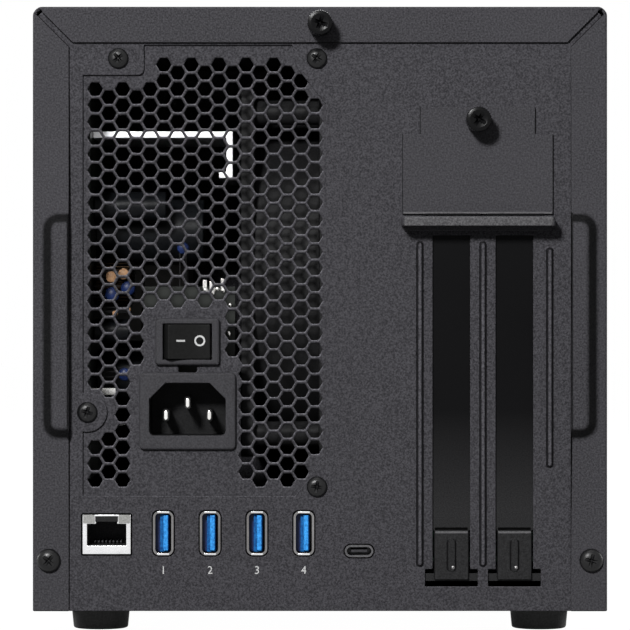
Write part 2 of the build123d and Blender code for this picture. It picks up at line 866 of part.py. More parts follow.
sink_level = psu_top - sink_drop
with BuildPart() as psu_heat_sink:
    with BuildSketch(upright(psu_parts_rear)):
        rear_box(psu_board_face, psu_board_face + sink_reach, sink_level - sink_sheet, sink_level)
        rear_box(
            psu_board_face + sink_reach - sink_sheet,
            psu_board_face + sink_reach,
            sink_level - sink_turn,
            sink_level,
        )
        rear_box(
            psu_board_face + sink_reach - sink_curl,
            psu_board_face + sink_reach,
            sink_level - sink_turn,
            sink_level - sink_turn + sink_sheet,
        )
    extrude(amount=-sink_length)
pieces["psu_heat_sink"] = psu_heat_sink

with BuildPart() as psu_filter_board:
    with BuildSketch(upright(panel_front + switch_body_depth)):
        rear_box(
            inlet_middle - filter_board_width / 2,
            inlet_middle + filter_board_width / 2,
            filter_board_low,
            filter_board_high,
        )
    extrude(amount=-board_thickness)
pieces["psu_filter_board"] = psu_filter_board

transformer_place = (psu_fan_y + transformer_ahead, psu_fan_z - transformer_drop)
with BuildPart() as psu_transformer:
    with BuildSketch(Plane.YZ.offset(psu_board_face)):
        with Locations(transformer_place):
            Rectangle(transformer_length, transformer_width)
    extrude(amount=transformer_core)
    with BuildSketch(Plane.YZ.offset(psu_board_face + transformer_core)):
        with Locations(transformer_place):
            RectangleRounded(transformer_coil_length, transformer_coil_width, transformer_coil_corner)
    extrude(amount=transformer_height - transformer_core)
pieces["psu_transformer"] = psu_transformer

with BuildPart() as psu_choke:
    with BuildSketch(Plane.YZ.offset(psu_board_face)):
        with Locations((psu_parts_rear + choke_radius, psu_fan_z - choke_drop)):
            Circle(choke_radius)
            Circle(choke_bore, mode=Mode.SUBTRACT)
    extrude(amount=choke_length)
pieces["psu_choke"] = psu_choke

# Depth, height, radius and length of each capacitor, placed from the choke and the fan's middle
capacitor_places = [
    (psu_parts_rear + 6, psu_fan_z + 22, 5.0, 24.0),
    (psu_parts_rear + 5, psu_fan_z - 19, 4.0, 12.0),
    (psu_parts_rear + 24, psu_fan_z + 14, 11.0, 36.0),
    (psu_parts_rear + 26, psu_fan_z - 34, 9.0, 30.0),
]
with BuildPart() as psu_capacitors:
    for y, z, radius, length in capacitor_places:
        with BuildSketch(Plane.YZ.offset(psu_board_face)):
            with Locations((y, z)):
                Circle(radius)
        extrude(amount=length)
pieces["psu_capacitors"] = psu_capacitors


def fan_frame(plane, size, thickness):
    """Fan frame on its plane: two square flanges, round shroud, screw posts, motor mount and fixed shaft."""
    bore = size / 2 - fan_wall
    hole_spread = size - 2 * fan_hole_inset
    shaft_length = thickness - fan_rotor_inset - fan_arm_depth - fan_rotor_gap
    with BuildPart() as frame:
        for start in (0, thickness - fan_flange):
            with BuildSketch(plane.offset(start)):
                RectangleRounded(size, size, fan_corner)
            extrude(amount=fan_flange)
        with BuildSketch(plane):
            Circle(size / 2)
            with GridLocations(hole_spread, hole_spread, 2, 2):
                Circle(fan_post)
        extrude(amount=thickness)
        with BuildSketch(plane):
            Circle(bore)
            with GridLocations(hole_spread, hole_spread, 2, 2):
                Circle(screw_shank + fit)
        extrude(amount=thickness, mode=Mode.SUBTRACT)
        with BuildSketch(plane):
            Circle(fan_hub)
            with PolarLocations(bore / 2, 4, start_angle=45):
                Rectangle(bore + fan_wall, fan_arm_width)
        extrude(amount=fan_arm_depth)
        with BuildSketch(plane):
            Circle(fan_shaft)
        extrude(amount=shaft_length)
    return frame


def fan_rotor(plane, size, thickness):
    """Rotor that turns on the frame's shaft: hub cup and twisted blades."""
    tip = size / 2 - fan_wall - fan_clearance
    rotor_start = fan_arm_depth + fan_rotor_gap
    rotor_length = thickness - rotor_start - fan_rotor_inset
    with BuildPart() as rotor:
        with BuildSketch(plane.offset(rotor_start)):
            Circle(fan_hub)
        extrude(amount=rotor_length)
        with BuildSketch(plane.offset(rotor_start)):
            Circle(fan_shaft + running_fit)
        extrude(amount=rotor_length - fan_rotor_inset, mode=Mode.SUBTRACT)
        middle = plane.offset(rotor_start + rotor_length / 2)
        for blade in range(fan_blades):
            turn = 2 * pi * blade / fan_blades
            outward = middle.x_dir * cos(turn) + middle.y_dir * sin(turn)
            along = middle.y_dir * cos(turn) - middle.x_dir * sin(turn)
            root = Plane(middle.origin + outward * (fan_hub - blade_root), x_dir=along, z_dir=outward)
            with BuildSketch(root):
                Rectangle(blade_chord, blade_thickness, rotation=blade_pitch)
            extrude(amount=tip - fan_hub + 2 * blade_root)
        with BuildSketch(plane):
            Circle(tip)
        extrude(amount=thickness, mode=Mode.INTERSECT)
    return rotor


psu_fan_plane = Plane(
    origin=(psu_right - psu_sheet, psu_fan_y, psu_fan_z), x_dir=(0, 1, 0), z_dir=(-1, 0, 0)
)
pieces["psu_fan_frame"] = fan_frame(psu_fan_plane, psu_fan_size, psu_fan_thickness)
pieces["psu_fan_rotor"] = fan_rotor(psu_fan_plane, psu_fan_size, psu_fan_thickness)
case_fan_plane = Plane(origin=(0, front_in, case_fan_height), x_dir=(1, 0, 0), z_dir=(0, -1, 0))
pieces["case_fan_frame"] = fan_frame(case_fan_plane, case_fan_size, case_fan_thickness)
pieces["case_fan_rotor"] = fan_rotor(case_fan_plane, case_fan_size, case_fan_thickness)

fan_hole_spread = case_fan_size - 2 * fan_hole_inset
fan_screw_places = [
    (side * fan_hole_spread / 2, case_fan_height + level * fan_hole_spread / 2)
    for side in (-1, 1)
    for level in (-1, 1)
]
flat_head_taper = degrees(atan((flat_head_radius - screw_shank) / front_sheet))

# Front panel: shallow tray with a barred opening for the fan and three tabs inside the cover
with BuildPart() as front_panel:
    with BuildSketch(upright(front_face)) as front_outline:
        rear_box(-half, half, foot_height, height)
        fillet(front_outline.vertices().group_by(Axis.Y)[-1], cover_bend)
    extrude(amount=front_depth)
    fillet(front_panel.faces().sort_by(Axis.Y)[-1].edges(), cover_edge_bend)
    with BuildSketch(upright(front_in)):
        rear_box(-half + sheet, half - sheet, floor_top, height - sheet)
    extrude(amount=front_depth, mode=Mode.SUBTRACT)
    with BuildSketch(upright(front_face)):
        with Locations((0, case_fan_height)):
            add(fan_bars(case_fan_size / 2 - fan_wall))
    extrude(amount=front_sheet, mode=Mode.SUBTRACT)
    with BuildSketch(upright(front_face)):
        with Locations(*fan_screw_places):
            Circle(flat_head_radius + fit)
    extrude(amount=front_sheet, taper=flat_head_taper, mode=Mode.SUBTRACT)
    with BuildSketch(upright(front_in)):
        rear_box(-top_tab / 2, top_tab / 2, panel_top - sheet, panel_top)
        rear_box(-low_tab / 2, low_tab / 2, floor_top, floor_top + sheet)
        for side in (-1, 1):
            edge = sorted((side * inner_half, side * (inner_half - sheet)))
            rear_box(*edge, side_tab_low, side_tab_high)
    extrude(amount=front_depth + tab_reach)
pieces["front_panel"] = front_panel

# Main board on standoffs, with the card connector
board_left = -half + board_margin
board_right = half - board_margin
board_rear = panel_front + board_gap
standoff_places = [
    (x, y)
    for x in (board_left + standoff_edge, 0, board_right - standoff_edge)
    for y in (board_rear + standoff_rear, board_rear + board_length - standoff_edge)
]
with BuildPart() as main_board:
    with BuildSketch(Plane.XY.offset(board_top - board_thickness)):
        with Locations(((board_left + board_right) / 2, board_rear + board_length / 2)):
            Rectangle(board_right - board_left, board_length)
        with Locations(*standoff_places):
            Circle(standoff_pin + fit, mode=Mode.SUBTRACT)
    extrude(amount=board_thickness)
pieces["main_board"] = main_board

with BuildPart() as board_standoffs:
    with BuildSketch(Plane.XY.offset(floor_top)):
        with Locations(*standoff_places):
            RegularPolygon(standoff_radius, 6)
    extrude(amount=board_top - board_thickness - floor_top)
    with BuildSketch(Plane.XY.offset(board_top - board_thickness)):
        with Locations(*standoff_places):
            Circle(standoff_pin)
    extrude(amount=board_thickness + standoff_pin_rise)
pieces["board_standoffs"] = board_standoffs

connector_rear = panel_front + slot_connector_rear
connector_front = connector_rear + slot_connector_length
connector_top = board_top + slot_connector_height
latch_axis_y = connector_front + latch_axis_ahead
latch_axis_z = board_top + latch_axis_rise
latch_seat_place = (connector_front + latch_seat / 2, board_top + latch_seat / 2)
with BuildPart() as graphics_slot:
    with BuildSketch(Plane.XY.offset(board_top)):
        with Locations((slot_connector_x, (connector_rear + connector_front) / 2)):
            Rectangle(slot_connector_width, slot_connector_length)
    extrude(amount=slot_connector_height)
    with BuildSketch(Plane.XY.offset(connector_top)):
        with Locations((slot_connector_x, (connector_rear + connector_front) / 2)):
            Rectangle(card_groove, slot_connector_length - 2 * card_groove_end)
        with Locations((slot_connector_x, connector_rear + card_key_place)):
            Rectangle(slot_connector_width, card_key, mode=Mode.SUBTRACT)
    extrude(amount=-card_groove_depth, mode=Mode.SUBTRACT)
    with BuildSketch(Plane.YZ.offset(slot_connector_x - slot_connector_width / 2)):
        with Locations(latch_seat_place):
            Rectangle(latch_seat, latch_seat)
    extrude(amount=slot_connector_width)
    with BuildSketch(Plane.YZ.offset(slot_connector_x - latch_thickness / 2 - fit)):
        with Locations(latch_seat_place):
            Rectangle(latch_seat, latch_seat)
    extrude(amount=latch_thickness + 2 * fit, mode=Mode.SUBTRACT)
    with BuildSketch(Plane.YZ.offset(slot_connector_x)):
        with Locations((latch_axis_y, latch_axis_z)):
            Circle(latch_pin)
    extrude(amount=slot_connector_width / 2, both=True)
pieces["graphics_slot"] = graphics_slot

with BuildPart() as graphics_slot_latch:
    with BuildSketch(Plane.YZ.offset(slot_connector_x)):
        with BuildLine():
            Polyline(
                (latch_axis_y - latch_half_foot, latch_axis_z - latch_half_foot),
                (latch_axis_y + latch_half_foot, latch_axis_z - latch_half_foot),
                (latch_axis_y + latch_half_foot, connector_top),
                (latch_axis_y + latch_length, connector_top + latch_rise - latch_lip),
                (latch_axis_y + latch_length, connector_top + latch_rise),
                (latch_axis_y - latch_half_foot, connector_top + latch_rise),
                close=True,
            )
        make_face()
        with Locations((latch_axis_y, latch_axis_z)):
            Circle(latch_pin + running_fit, mode=Mode.SUBTRACT)
    extrude(amount=latch_thickness / 2, both=True)
pieces["graphics_slot_latch"] = graphics_slot_latch

# Network socket: metal shell round a moulded insert
network_middle = network_low + network_height / 2
with BuildPart() as network_socket_shell:
    with BuildSketch(upright(panel_rear)) as network_face:
        with Locations((network_x, network_middle)):
            Rectangle(network_width, network_height)
    extrude(amount=-network_depth)
    with BuildSketch(upright(panel_front)):
        with Locations((network_x, (board_top + network_low) / 2)):
            Rectangle(network_width, network_low - board_top)
    extrude(amount=sheet - network_depth)
    jack_low = network_low + network_sill
    jack_high = jack_low + jack_height
    with BuildSketch(upright(panel_rear)):
        rear_box(
            network_x - network_width / 2 + network_wall,
            network_x + network_width / 2 - network_wall,
            jack_low,
            jack_high,
        )
        rear_box(
            network_x - latch_width / 2,
            network_x + latch_width / 2,
            jack_high,
            jack_high + latch_height,
        )
    extrude(amount=-network_depth + network_wall, mode=Mode.SUBTRACT)
pieces["network_socket_shell"] = network_socket_shell

with BuildPart() as network_socket_insert:
    with BuildSketch(upright(panel_rear + network_depth - network_wall)):
        rear_box(
            network_x - network_width / 2 + network_wall,
            network_x + network_width / 2 - network_wall,
            jack_low,
            jack_high,
        )
    extrude(amount=insert_depth)
    with BuildSketch(upright(panel_rear + network_depth - network_wall - insert_depth)):
        with Locations((network_x, jack_low + contact_rise)):
            with GridLocations(contact_pitch, 0, contact_count, 1):
                Rectangle(contact_width, contact_height)
    extrude(amount=contact_length)
pieces["network_socket_insert"] = network_socket_insert

# Upright data sockets: folded shells with a tongue each
for index, x in enumerate(data_centres):
    data_middle = data_low + data_height / 2
    with BuildPart() as data_shell:
        with BuildSketch(upright(panel_rear)):
            with Locations((x, data_middle)):
                RectangleRounded(data_width, data_height, data_corner)
        extrude(amount=-data_depth)
        with BuildSketch(upright(panel_rear)):
            with Locations((x, data_middle)):
                RectangleRounded(
                    data_width - 2 * data_wall, data_height - 2 * data_wall, data_corner - data_wall
                )
        extrude(amount=-data_depth + data_wall, mode=Mode.SUBTRACT)
        with BuildSketch(Plane.XY.offset(board_top)):
            with Locations((x, (panel_front + panel_rear + data_depth) / 2)):
                Rectangle(data_width - 2 * data_corner, data_depth - sheet)
        extrude(amount=data_low - board_top)
    pieces[f"data_socket_shell_{index + 1}"] = data_shell
    with BuildPart() as data_tongue_part:
        with BuildSketch(upright(panel_rear + data_depth - data_wall)):
            with Locations((x + data_tongue_shift, data_middle)):
                Rectangle(data_tongue, data_height - 2 * (data_wall + data_tongue_margin))
        extrude(amount=data_depth - data_wall - data_tongue_back)
    pieces[f"data_socket_tongue_{index + 1}"] = data_tongue_part

# Small oval data socket
small_middle = board_top + small_height / 2
with BuildPart() as small_data_socket_shell:
    with BuildSketch(upright(panel_rear)):
        with Locations((small_x, small_middle)):
            SlotOverall(small_width, small_height)
    extrude(amount=-small_depth)
    with BuildSketch(upright(panel_rear)):
        with Locations((small_x, small_middle)):
            SlotOverall(small_width - 2 * small_wall, small_height - 2 * small_wall)
    extrude(amount=-small_depth + small_wall, mode=Mode.SUBTRACT)
pieces["small_data_socket_shell"] = small_data_socket_shell

with BuildPart() as small_data_socket_tongue:
    with BuildSketch(upright(panel_rear + small_depth - small_wall)):
        with Locations((small_x, small_middle)):
            Rectangle(small_width - small_height, small_tongue)
    extrude(amount=small_depth - small_wall - small_tongue_back)
pieces["small_data_socket_tongue"] = small_data_socket_tongue

# Feet: tapered rubber pads under the tray
foot_places = [
    (side * foot_x, end)
    for side in (-1, 1)
    for end in (cover_rear + foot_inset, front_face - foot_inset)
]
with BuildPart() as feet:
    with BuildSketch(Plane.XY.offset(foot_height)):
        with Locations(*foot_places):
            Circle(foot_radius)
    extrude(amount=-foot_height, taper=degrees(atan(foot_taper / foot_height)))
pieces["feet"] = feet

# Countersunk screws that hold the fan to the front panel
with BuildPart() as case_fan_screws:
    with BuildSketch(upright(front_face)):
        with Locations(*fan_screw_places):
            Circle(flat_head_radius)
    extrude(amount=front_sheet, taper=flat_head_taper)
    with BuildSketch(upright(front_in)):
        with Locations(*fan_screw_places):
            Circle(screw_shank)
    extrude(amount=case_fan_thickness / 2)
pieces["case_fan_screws"] = case_fan_screws

os.makedirs("parts", exist_ok=True)
for label, piece in pieces.items():
    piece.part.label = label
    export_step(piece.part, f"parts/{label}.step")
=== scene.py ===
"""Finishes, small details and studio for an external graphics card enclosure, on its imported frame.

Metres, in the frame of the solids: X to the right and Z up as seen from behind,
Y from the rear to the front."""

import json
import math

import bmesh
import bpy
from mathutils import Matrix, Vector
from mathutils.bvhtree import BVHTree

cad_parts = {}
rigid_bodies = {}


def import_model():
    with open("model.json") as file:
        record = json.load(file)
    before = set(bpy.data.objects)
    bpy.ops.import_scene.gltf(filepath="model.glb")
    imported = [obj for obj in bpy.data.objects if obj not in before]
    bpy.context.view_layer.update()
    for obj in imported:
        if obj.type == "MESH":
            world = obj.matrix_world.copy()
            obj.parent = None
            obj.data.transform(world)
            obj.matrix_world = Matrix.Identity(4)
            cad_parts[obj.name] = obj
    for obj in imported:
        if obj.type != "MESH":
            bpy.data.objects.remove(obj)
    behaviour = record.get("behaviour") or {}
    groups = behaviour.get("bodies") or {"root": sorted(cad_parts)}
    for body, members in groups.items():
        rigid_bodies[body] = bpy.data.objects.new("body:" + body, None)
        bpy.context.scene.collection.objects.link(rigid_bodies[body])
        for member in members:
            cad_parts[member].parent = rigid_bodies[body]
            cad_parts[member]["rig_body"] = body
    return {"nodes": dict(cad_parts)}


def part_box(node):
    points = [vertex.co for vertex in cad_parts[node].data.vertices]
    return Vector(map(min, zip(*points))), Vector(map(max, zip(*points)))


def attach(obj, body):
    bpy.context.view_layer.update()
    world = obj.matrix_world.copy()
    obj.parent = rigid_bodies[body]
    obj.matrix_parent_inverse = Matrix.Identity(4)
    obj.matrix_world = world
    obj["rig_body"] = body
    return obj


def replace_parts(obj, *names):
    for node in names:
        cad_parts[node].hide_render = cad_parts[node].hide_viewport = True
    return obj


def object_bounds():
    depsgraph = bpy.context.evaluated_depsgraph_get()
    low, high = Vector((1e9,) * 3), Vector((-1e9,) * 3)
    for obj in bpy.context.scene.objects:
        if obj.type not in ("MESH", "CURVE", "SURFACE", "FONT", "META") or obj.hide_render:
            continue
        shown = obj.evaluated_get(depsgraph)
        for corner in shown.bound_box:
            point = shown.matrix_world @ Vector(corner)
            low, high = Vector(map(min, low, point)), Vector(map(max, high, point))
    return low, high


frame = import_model()
cad_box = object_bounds()

mm = 0.001
REAR = Vector((0, -1, 0))
panel_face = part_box("slot_retainer")[1].y
PANEL_SHEET = 1.0 * mm
SCREW_SHANK = 1.75 * mm
INK = 0.03 * mm
PRESSED_EDGE = 0.9 * mm
FOOT_FADE = (72 * mm, 40 * mm)  # heights between which painted light makes the slot covers paler
PULL_SPAN = (55 * mm, 142 * mm)  # heights between which the finger pulls lie
SOCKETS = range(1, 5)
MERGE = 0.002 * mm
FLAT = math.radians(0.5)
SHARP = math.radians(28)
SMOOTH = math.radians(36)
SHADED = "shaded"  # attribute with each face's share of its finish's painted tone, painted shade on most finishes and painted highlight on some
EVEN = 0.262  # that share on even sheet, between the comb coat's painted shade and painted highlight


# Shared effects

def new_group(name, inputs, outputs):
    """An empty node group with number sockets, and its entry and exit."""
    group = bpy.data.node_groups.new(name, "ShaderNodeTree")
    for label, value in inputs.items():
        socket = group.interface.new_socket(label, in_out="INPUT", socket_type="NodeSocketFloat")
        socket.default_value = value
    for label in outputs:
        group.interface.new_socket(label, in_out="OUTPUT", socket_type="NodeSocketFloat")
    return group, group.nodes.new("NodeGroupInput"), group.nodes.new("NodeGroupOutput")


def spread(tree, value, low, high, side="To"):
    """A value from 0 to 1 spread to low and high, or with side From, one from low to high to 0 and 1."""
    node = tree.nodes.new("ShaderNodeMapRange")
    node.inputs[side + " Min"].default_value = low
    node.inputs[side + " Max"].default_value = high
    tree.links.new(value, node.inputs["Value"])
    return node.outputs["Result"]


def combine(tree, operation, first, second, clamp=False):
    """A value worked out from an output and from another output or a number."""
    node = tree.nodes.new("ShaderNodeMath")
    node.operation = operation
    node.use_clamp = clamp
    tree.links.new(first, node.inputs[0])
    if isinstance(second, bpy.types.NodeSocket):
        tree.links.new(second, node.inputs[1])
    else:
        node.inputs[1].default_value = second
    return node.outputs["Value"]


def own_place(tree):
    """The place on the object."""
    return tree.nodes.new("ShaderNodeTexCoord").outputs["Object"]


def make_grain_group():
    """Fine grain of a coat or a moulding: a fleck mask and a height."""
    group, entry, leave = new_group("fine grain", {"Grains per metre": 1500.0}, ("Fleck", "Height"))
    place = own_place(group)
    coarse = group.nodes.new("ShaderNodeTexNoise")
    coarse.inputs["Detail"].default_value = 2.0
    coarse.inputs["Roughness"].default_value = 0.6
    fine = group.nodes.new("ShaderNodeTexVoronoi")
    fine.feature = "SMOOTH_F1"
    fine.inputs["Smoothness"].default_value = 0.6
    for texture in (coarse, fine):
        group.links.new(place, texture.inputs["Vector"])
        group.links.new(entry.outputs["Grains per metre"], texture.inputs["Scale"])
    fleck = spread(group, coarse.outputs["Fac"], 0.34, 0.66, "From")
    group.links.new(fleck, leave.inputs["Fleck"])
    height = combine(group, "ADD", coarse.outputs["Fac"], fine.outputs["Distance"])
    group.links.new(height, leave.inputs["Height"])
    return group


def make_patch_group():
    """Slow uneven patches, as handling and coating leave them."""
    group, entry, leave = new_group("slow patches", {"Patches per metre": 14.0}, ("Patch",))
    cloud = group.nodes.new("ShaderNodeTexNoise")
    cloud.inputs["Detail"].default_value = 4.0
    cloud.inputs["Roughness"].default_value = 0.62
    group.links.new(own_place(group), cloud.inputs["Vector"])
    group.links.new(entry.outputs["Patches per metre"], cloud.inputs["Scale"])
    group.links.new(spread(group, cloud.outputs["Fac"], 0.3, 0.7, "From"), leave.inputs["Patch"])
    return group


def make_hairline_group():
    """Fine parallel lines of rolled, drawn or brushed metal, running along Y."""
    group, entry, leave = new_group("hairlines", {"Lines per metre": 2500.0}, ("Line",))
    squeeze = group.nodes.new("ShaderNodeMapping")
    squeeze.inputs["Scale"].default_value = (1.0, 0.03, 1.0)
    lines = group.nodes.new("ShaderNodeTexNoise")
    lines.inputs["Detail"].default_value = 3.0
    group.links.new(own_place(group), squeeze.inputs["Vector"])
    group.links.new(squeeze.outputs["Vector"], lines.inputs["Vector"])
    group.links.new(entry.outputs["Lines per metre"], lines.inputs["Scale"])
    group.links.new(spread(group, lines.outputs["Fac"], 0.3, 0.7, "From"), leave.inputs["Line"])
    return group


grain_group = make_grain_group()
patch_group = make_patch_group()
hairline_group = make_hairline_group()


# Finishes

def new_finish(name, metallic=0.0, specular=0.5):
    """A material, its tree and its shader, with the values that are the same all over."""
    material = bpy.data.materials.new(name)
    material.use_nodes = True
    tree = material.node_tree
    shader = tree.nodes["Principled BSDF"]
    shader.inputs["Metallic"].default_value = metallic
    shader.inputs["Specular IOR Level"].default_value = specular
    return material, tree, shader


def place_group(tree, group, value):
    """A shared effect in a material, at its own scale."""
    node = tree.nodes.new("ShaderNodeGroup")
    node.node_tree = group
    node.inputs[0].default_value = value
    return node


def blend_tones(tree, mask, first, second):
    """A colour that goes from the first tone to the second with a mask."""
    mix = tree.nodes.new("ShaderNodeMix")
    mix.data_type = "RGBA"
    ends = [socket for socket in mix.inputs if socket.type == "RGBA"]
    for socket, tone in zip(ends, (first, second)):
        if isinstance(tone, bpy.types.NodeSocket):
            tree.links.new(tone, socket)
        else:
            socket.default_value = (*tone, 1.0)
    tree.links.new(mask, mix.inputs["Factor"])
    return next(s for s in mix.outputs if s.type == "RGBA")


def fill_shader(tree, shader, tone, wear, rough, height, depth):
    """Gives a shader its colour, a roughness that goes with the wear, and a relief of a given depth."""
    tree.links.new(tone, shader.inputs["Base Color"])
    tree.links.new(spread(tree, wear, *rough), shader.inputs["Roughness"])
    bump = tree.nodes.new("ShaderNodeBump")
    bump.inputs["Distance"].default_value = depth
    tree.links.new(height, bump.inputs["Height"])
    tree.links.new(bump.outputs["Normal"], shader.inputs["Normal"])


def shaded_mask(tree):
    """The share of its finish's painted tone that a piece's faces are marked with."""
    mark = tree.nodes.new("ShaderNodeAttribute")
    mark.attribute_name = SHADED
    return mark.outputs["Fac"]


def foot_mask(tree):
    """Painted light: 0 along the upper part of the slot covers, rising to 1 toward their feet, and less on
    faces marked with painted shade.
    """
    split = tree.nodes.new("ShaderNodeSeparateXYZ")
    tree.links.new(own_place(tree), split.inputs["Vector"])
    height = spread(tree, split.outputs["Z"], *FOOT_FADE, "From")
    return combine(tree, "SUBTRACT", height, shaded_mask(tree), clamp=True)


def grained_finish(name, dark, light, rough, grains, depth, specular=0.5, shade=None, shade_mask=shaded_mask):
    """Coat or moulding with flecks, slow patches and a fine relief; rough is its lowest and highest."""
    material, tree, shader = new_finish(name, 0.0, specular)
    grain = place_group(tree, grain_group, grains)
    patch = place_group(tree, patch_group, 14.0).outputs["Patch"]
    flecked = blend_tones(tree, grain.outputs["Fleck"], dark, light)
    rubbed = tuple(channel * 1.12 for channel in light)
    faint = spread(tree, patch, 0.0, 0.35)
    tone = blend_tones(tree, faint, flecked, rubbed)
    # Marked faces take the shade tones: painted shade, except on the hood, the comb coat and the slot covers'
    # feet, where they are paler and paint light.
    if shade:
        shadow = blend_tones(tree, grain.outputs["Fleck"], *shade)
        tone = blend_tones(tree, shade_mask(tree), tone, shadow)
    fill_shader(tree, shader, tone, patch, rough, grain.outputs["Height"], depth)
    return material


def metal_finish(name, dark, light, rough, lines, depth, shade=None):
    """Bare or plated metal with hairlines and slow patches, and painted shade, dark and not metallic, on
    marked faces.
    """
    material, tree, shader = new_finish(name, metallic=1.0)
    hairline = place_group(tree, hairline_group, lines).outputs["Line"]
    patch = place_group(tree, patch_group, 60.0).outputs["Patch"]
    tone = blend_tones(tree, patch, dark, light)
    if shade:
        tone = blend_tones(tree, shaded_mask(tree), tone, shade)
        tree.links.new(spread(tree, shaded_mask(tree), 1.0, 0.0), shader.inputs["Metallic"])
    fill_shader(tree, shader, tone, hairline, rough, hairline, depth)
    return material


def winding_finish():
    """Lacquered copper wire: fine turns side by side across the choke."""
    material, tree, shader = new_finish("copper winding", metallic=1.0)
    wave = tree.nodes.new("ShaderNodeTexWave")
    wave.bands_direction = "Z"
    wave.inputs["Scale"].default_value = 300.0
    wave.inputs["Distortion"].default_value = 1.2
    tree.links.new(own_place(tree), wave.inputs["Vector"])
    turns = wave.outputs["Fac"]
    tone = blend_tones(tree, turns, (0.004, 0.003, 0.002), (0.016, 0.01, 0.006))
    fill_shader(tree, shader, tone, turns, (0.5, 0.28), turns, 0.3 * mm)
    return material


def board_finish(name, mask_tone, track_tone):
    """Solder mask over copper tracks that run in two directions."""
    material, tree, shader = new_finish(name, specular=0.2)
    bricks = tree.nodes.new("ShaderNodeTexBrick")
    bricks.inputs["Scale"].default_value = 60.0
    bricks.inputs["Mortar Size"].default_value = 0.03
    bricks.inputs["Brick Width"].default_value = 1.6
    bricks.inputs["Row Height"].default_value = 0.12
    for label, grey in (("Color1", 0.0), ("Color2", 0.25), ("Mortar", 1.0)):
        bricks.inputs[label].default_value = (grey, grey, grey, 1.0)
    tree.links.new(own_place(tree), bricks.inputs["Vector"])
    tracks = bricks.outputs["Color"]
    patch = place_group(tree, patch_group, 30.0).outputs["Patch"]
    tone = blend_tones(tree, tracks, mask_tone, track_tone)
    fill_shader(tree, shader, tone, patch, (0.3, 0.45), tracks, 0.03 * mm)
    return material


COAT = ((0.022, 0.0215, 0.024), (0.064, 0.0625, 0.069))
COAT_GRAINS = 1700.0
COAT_RELIEF = 0.08 * mm

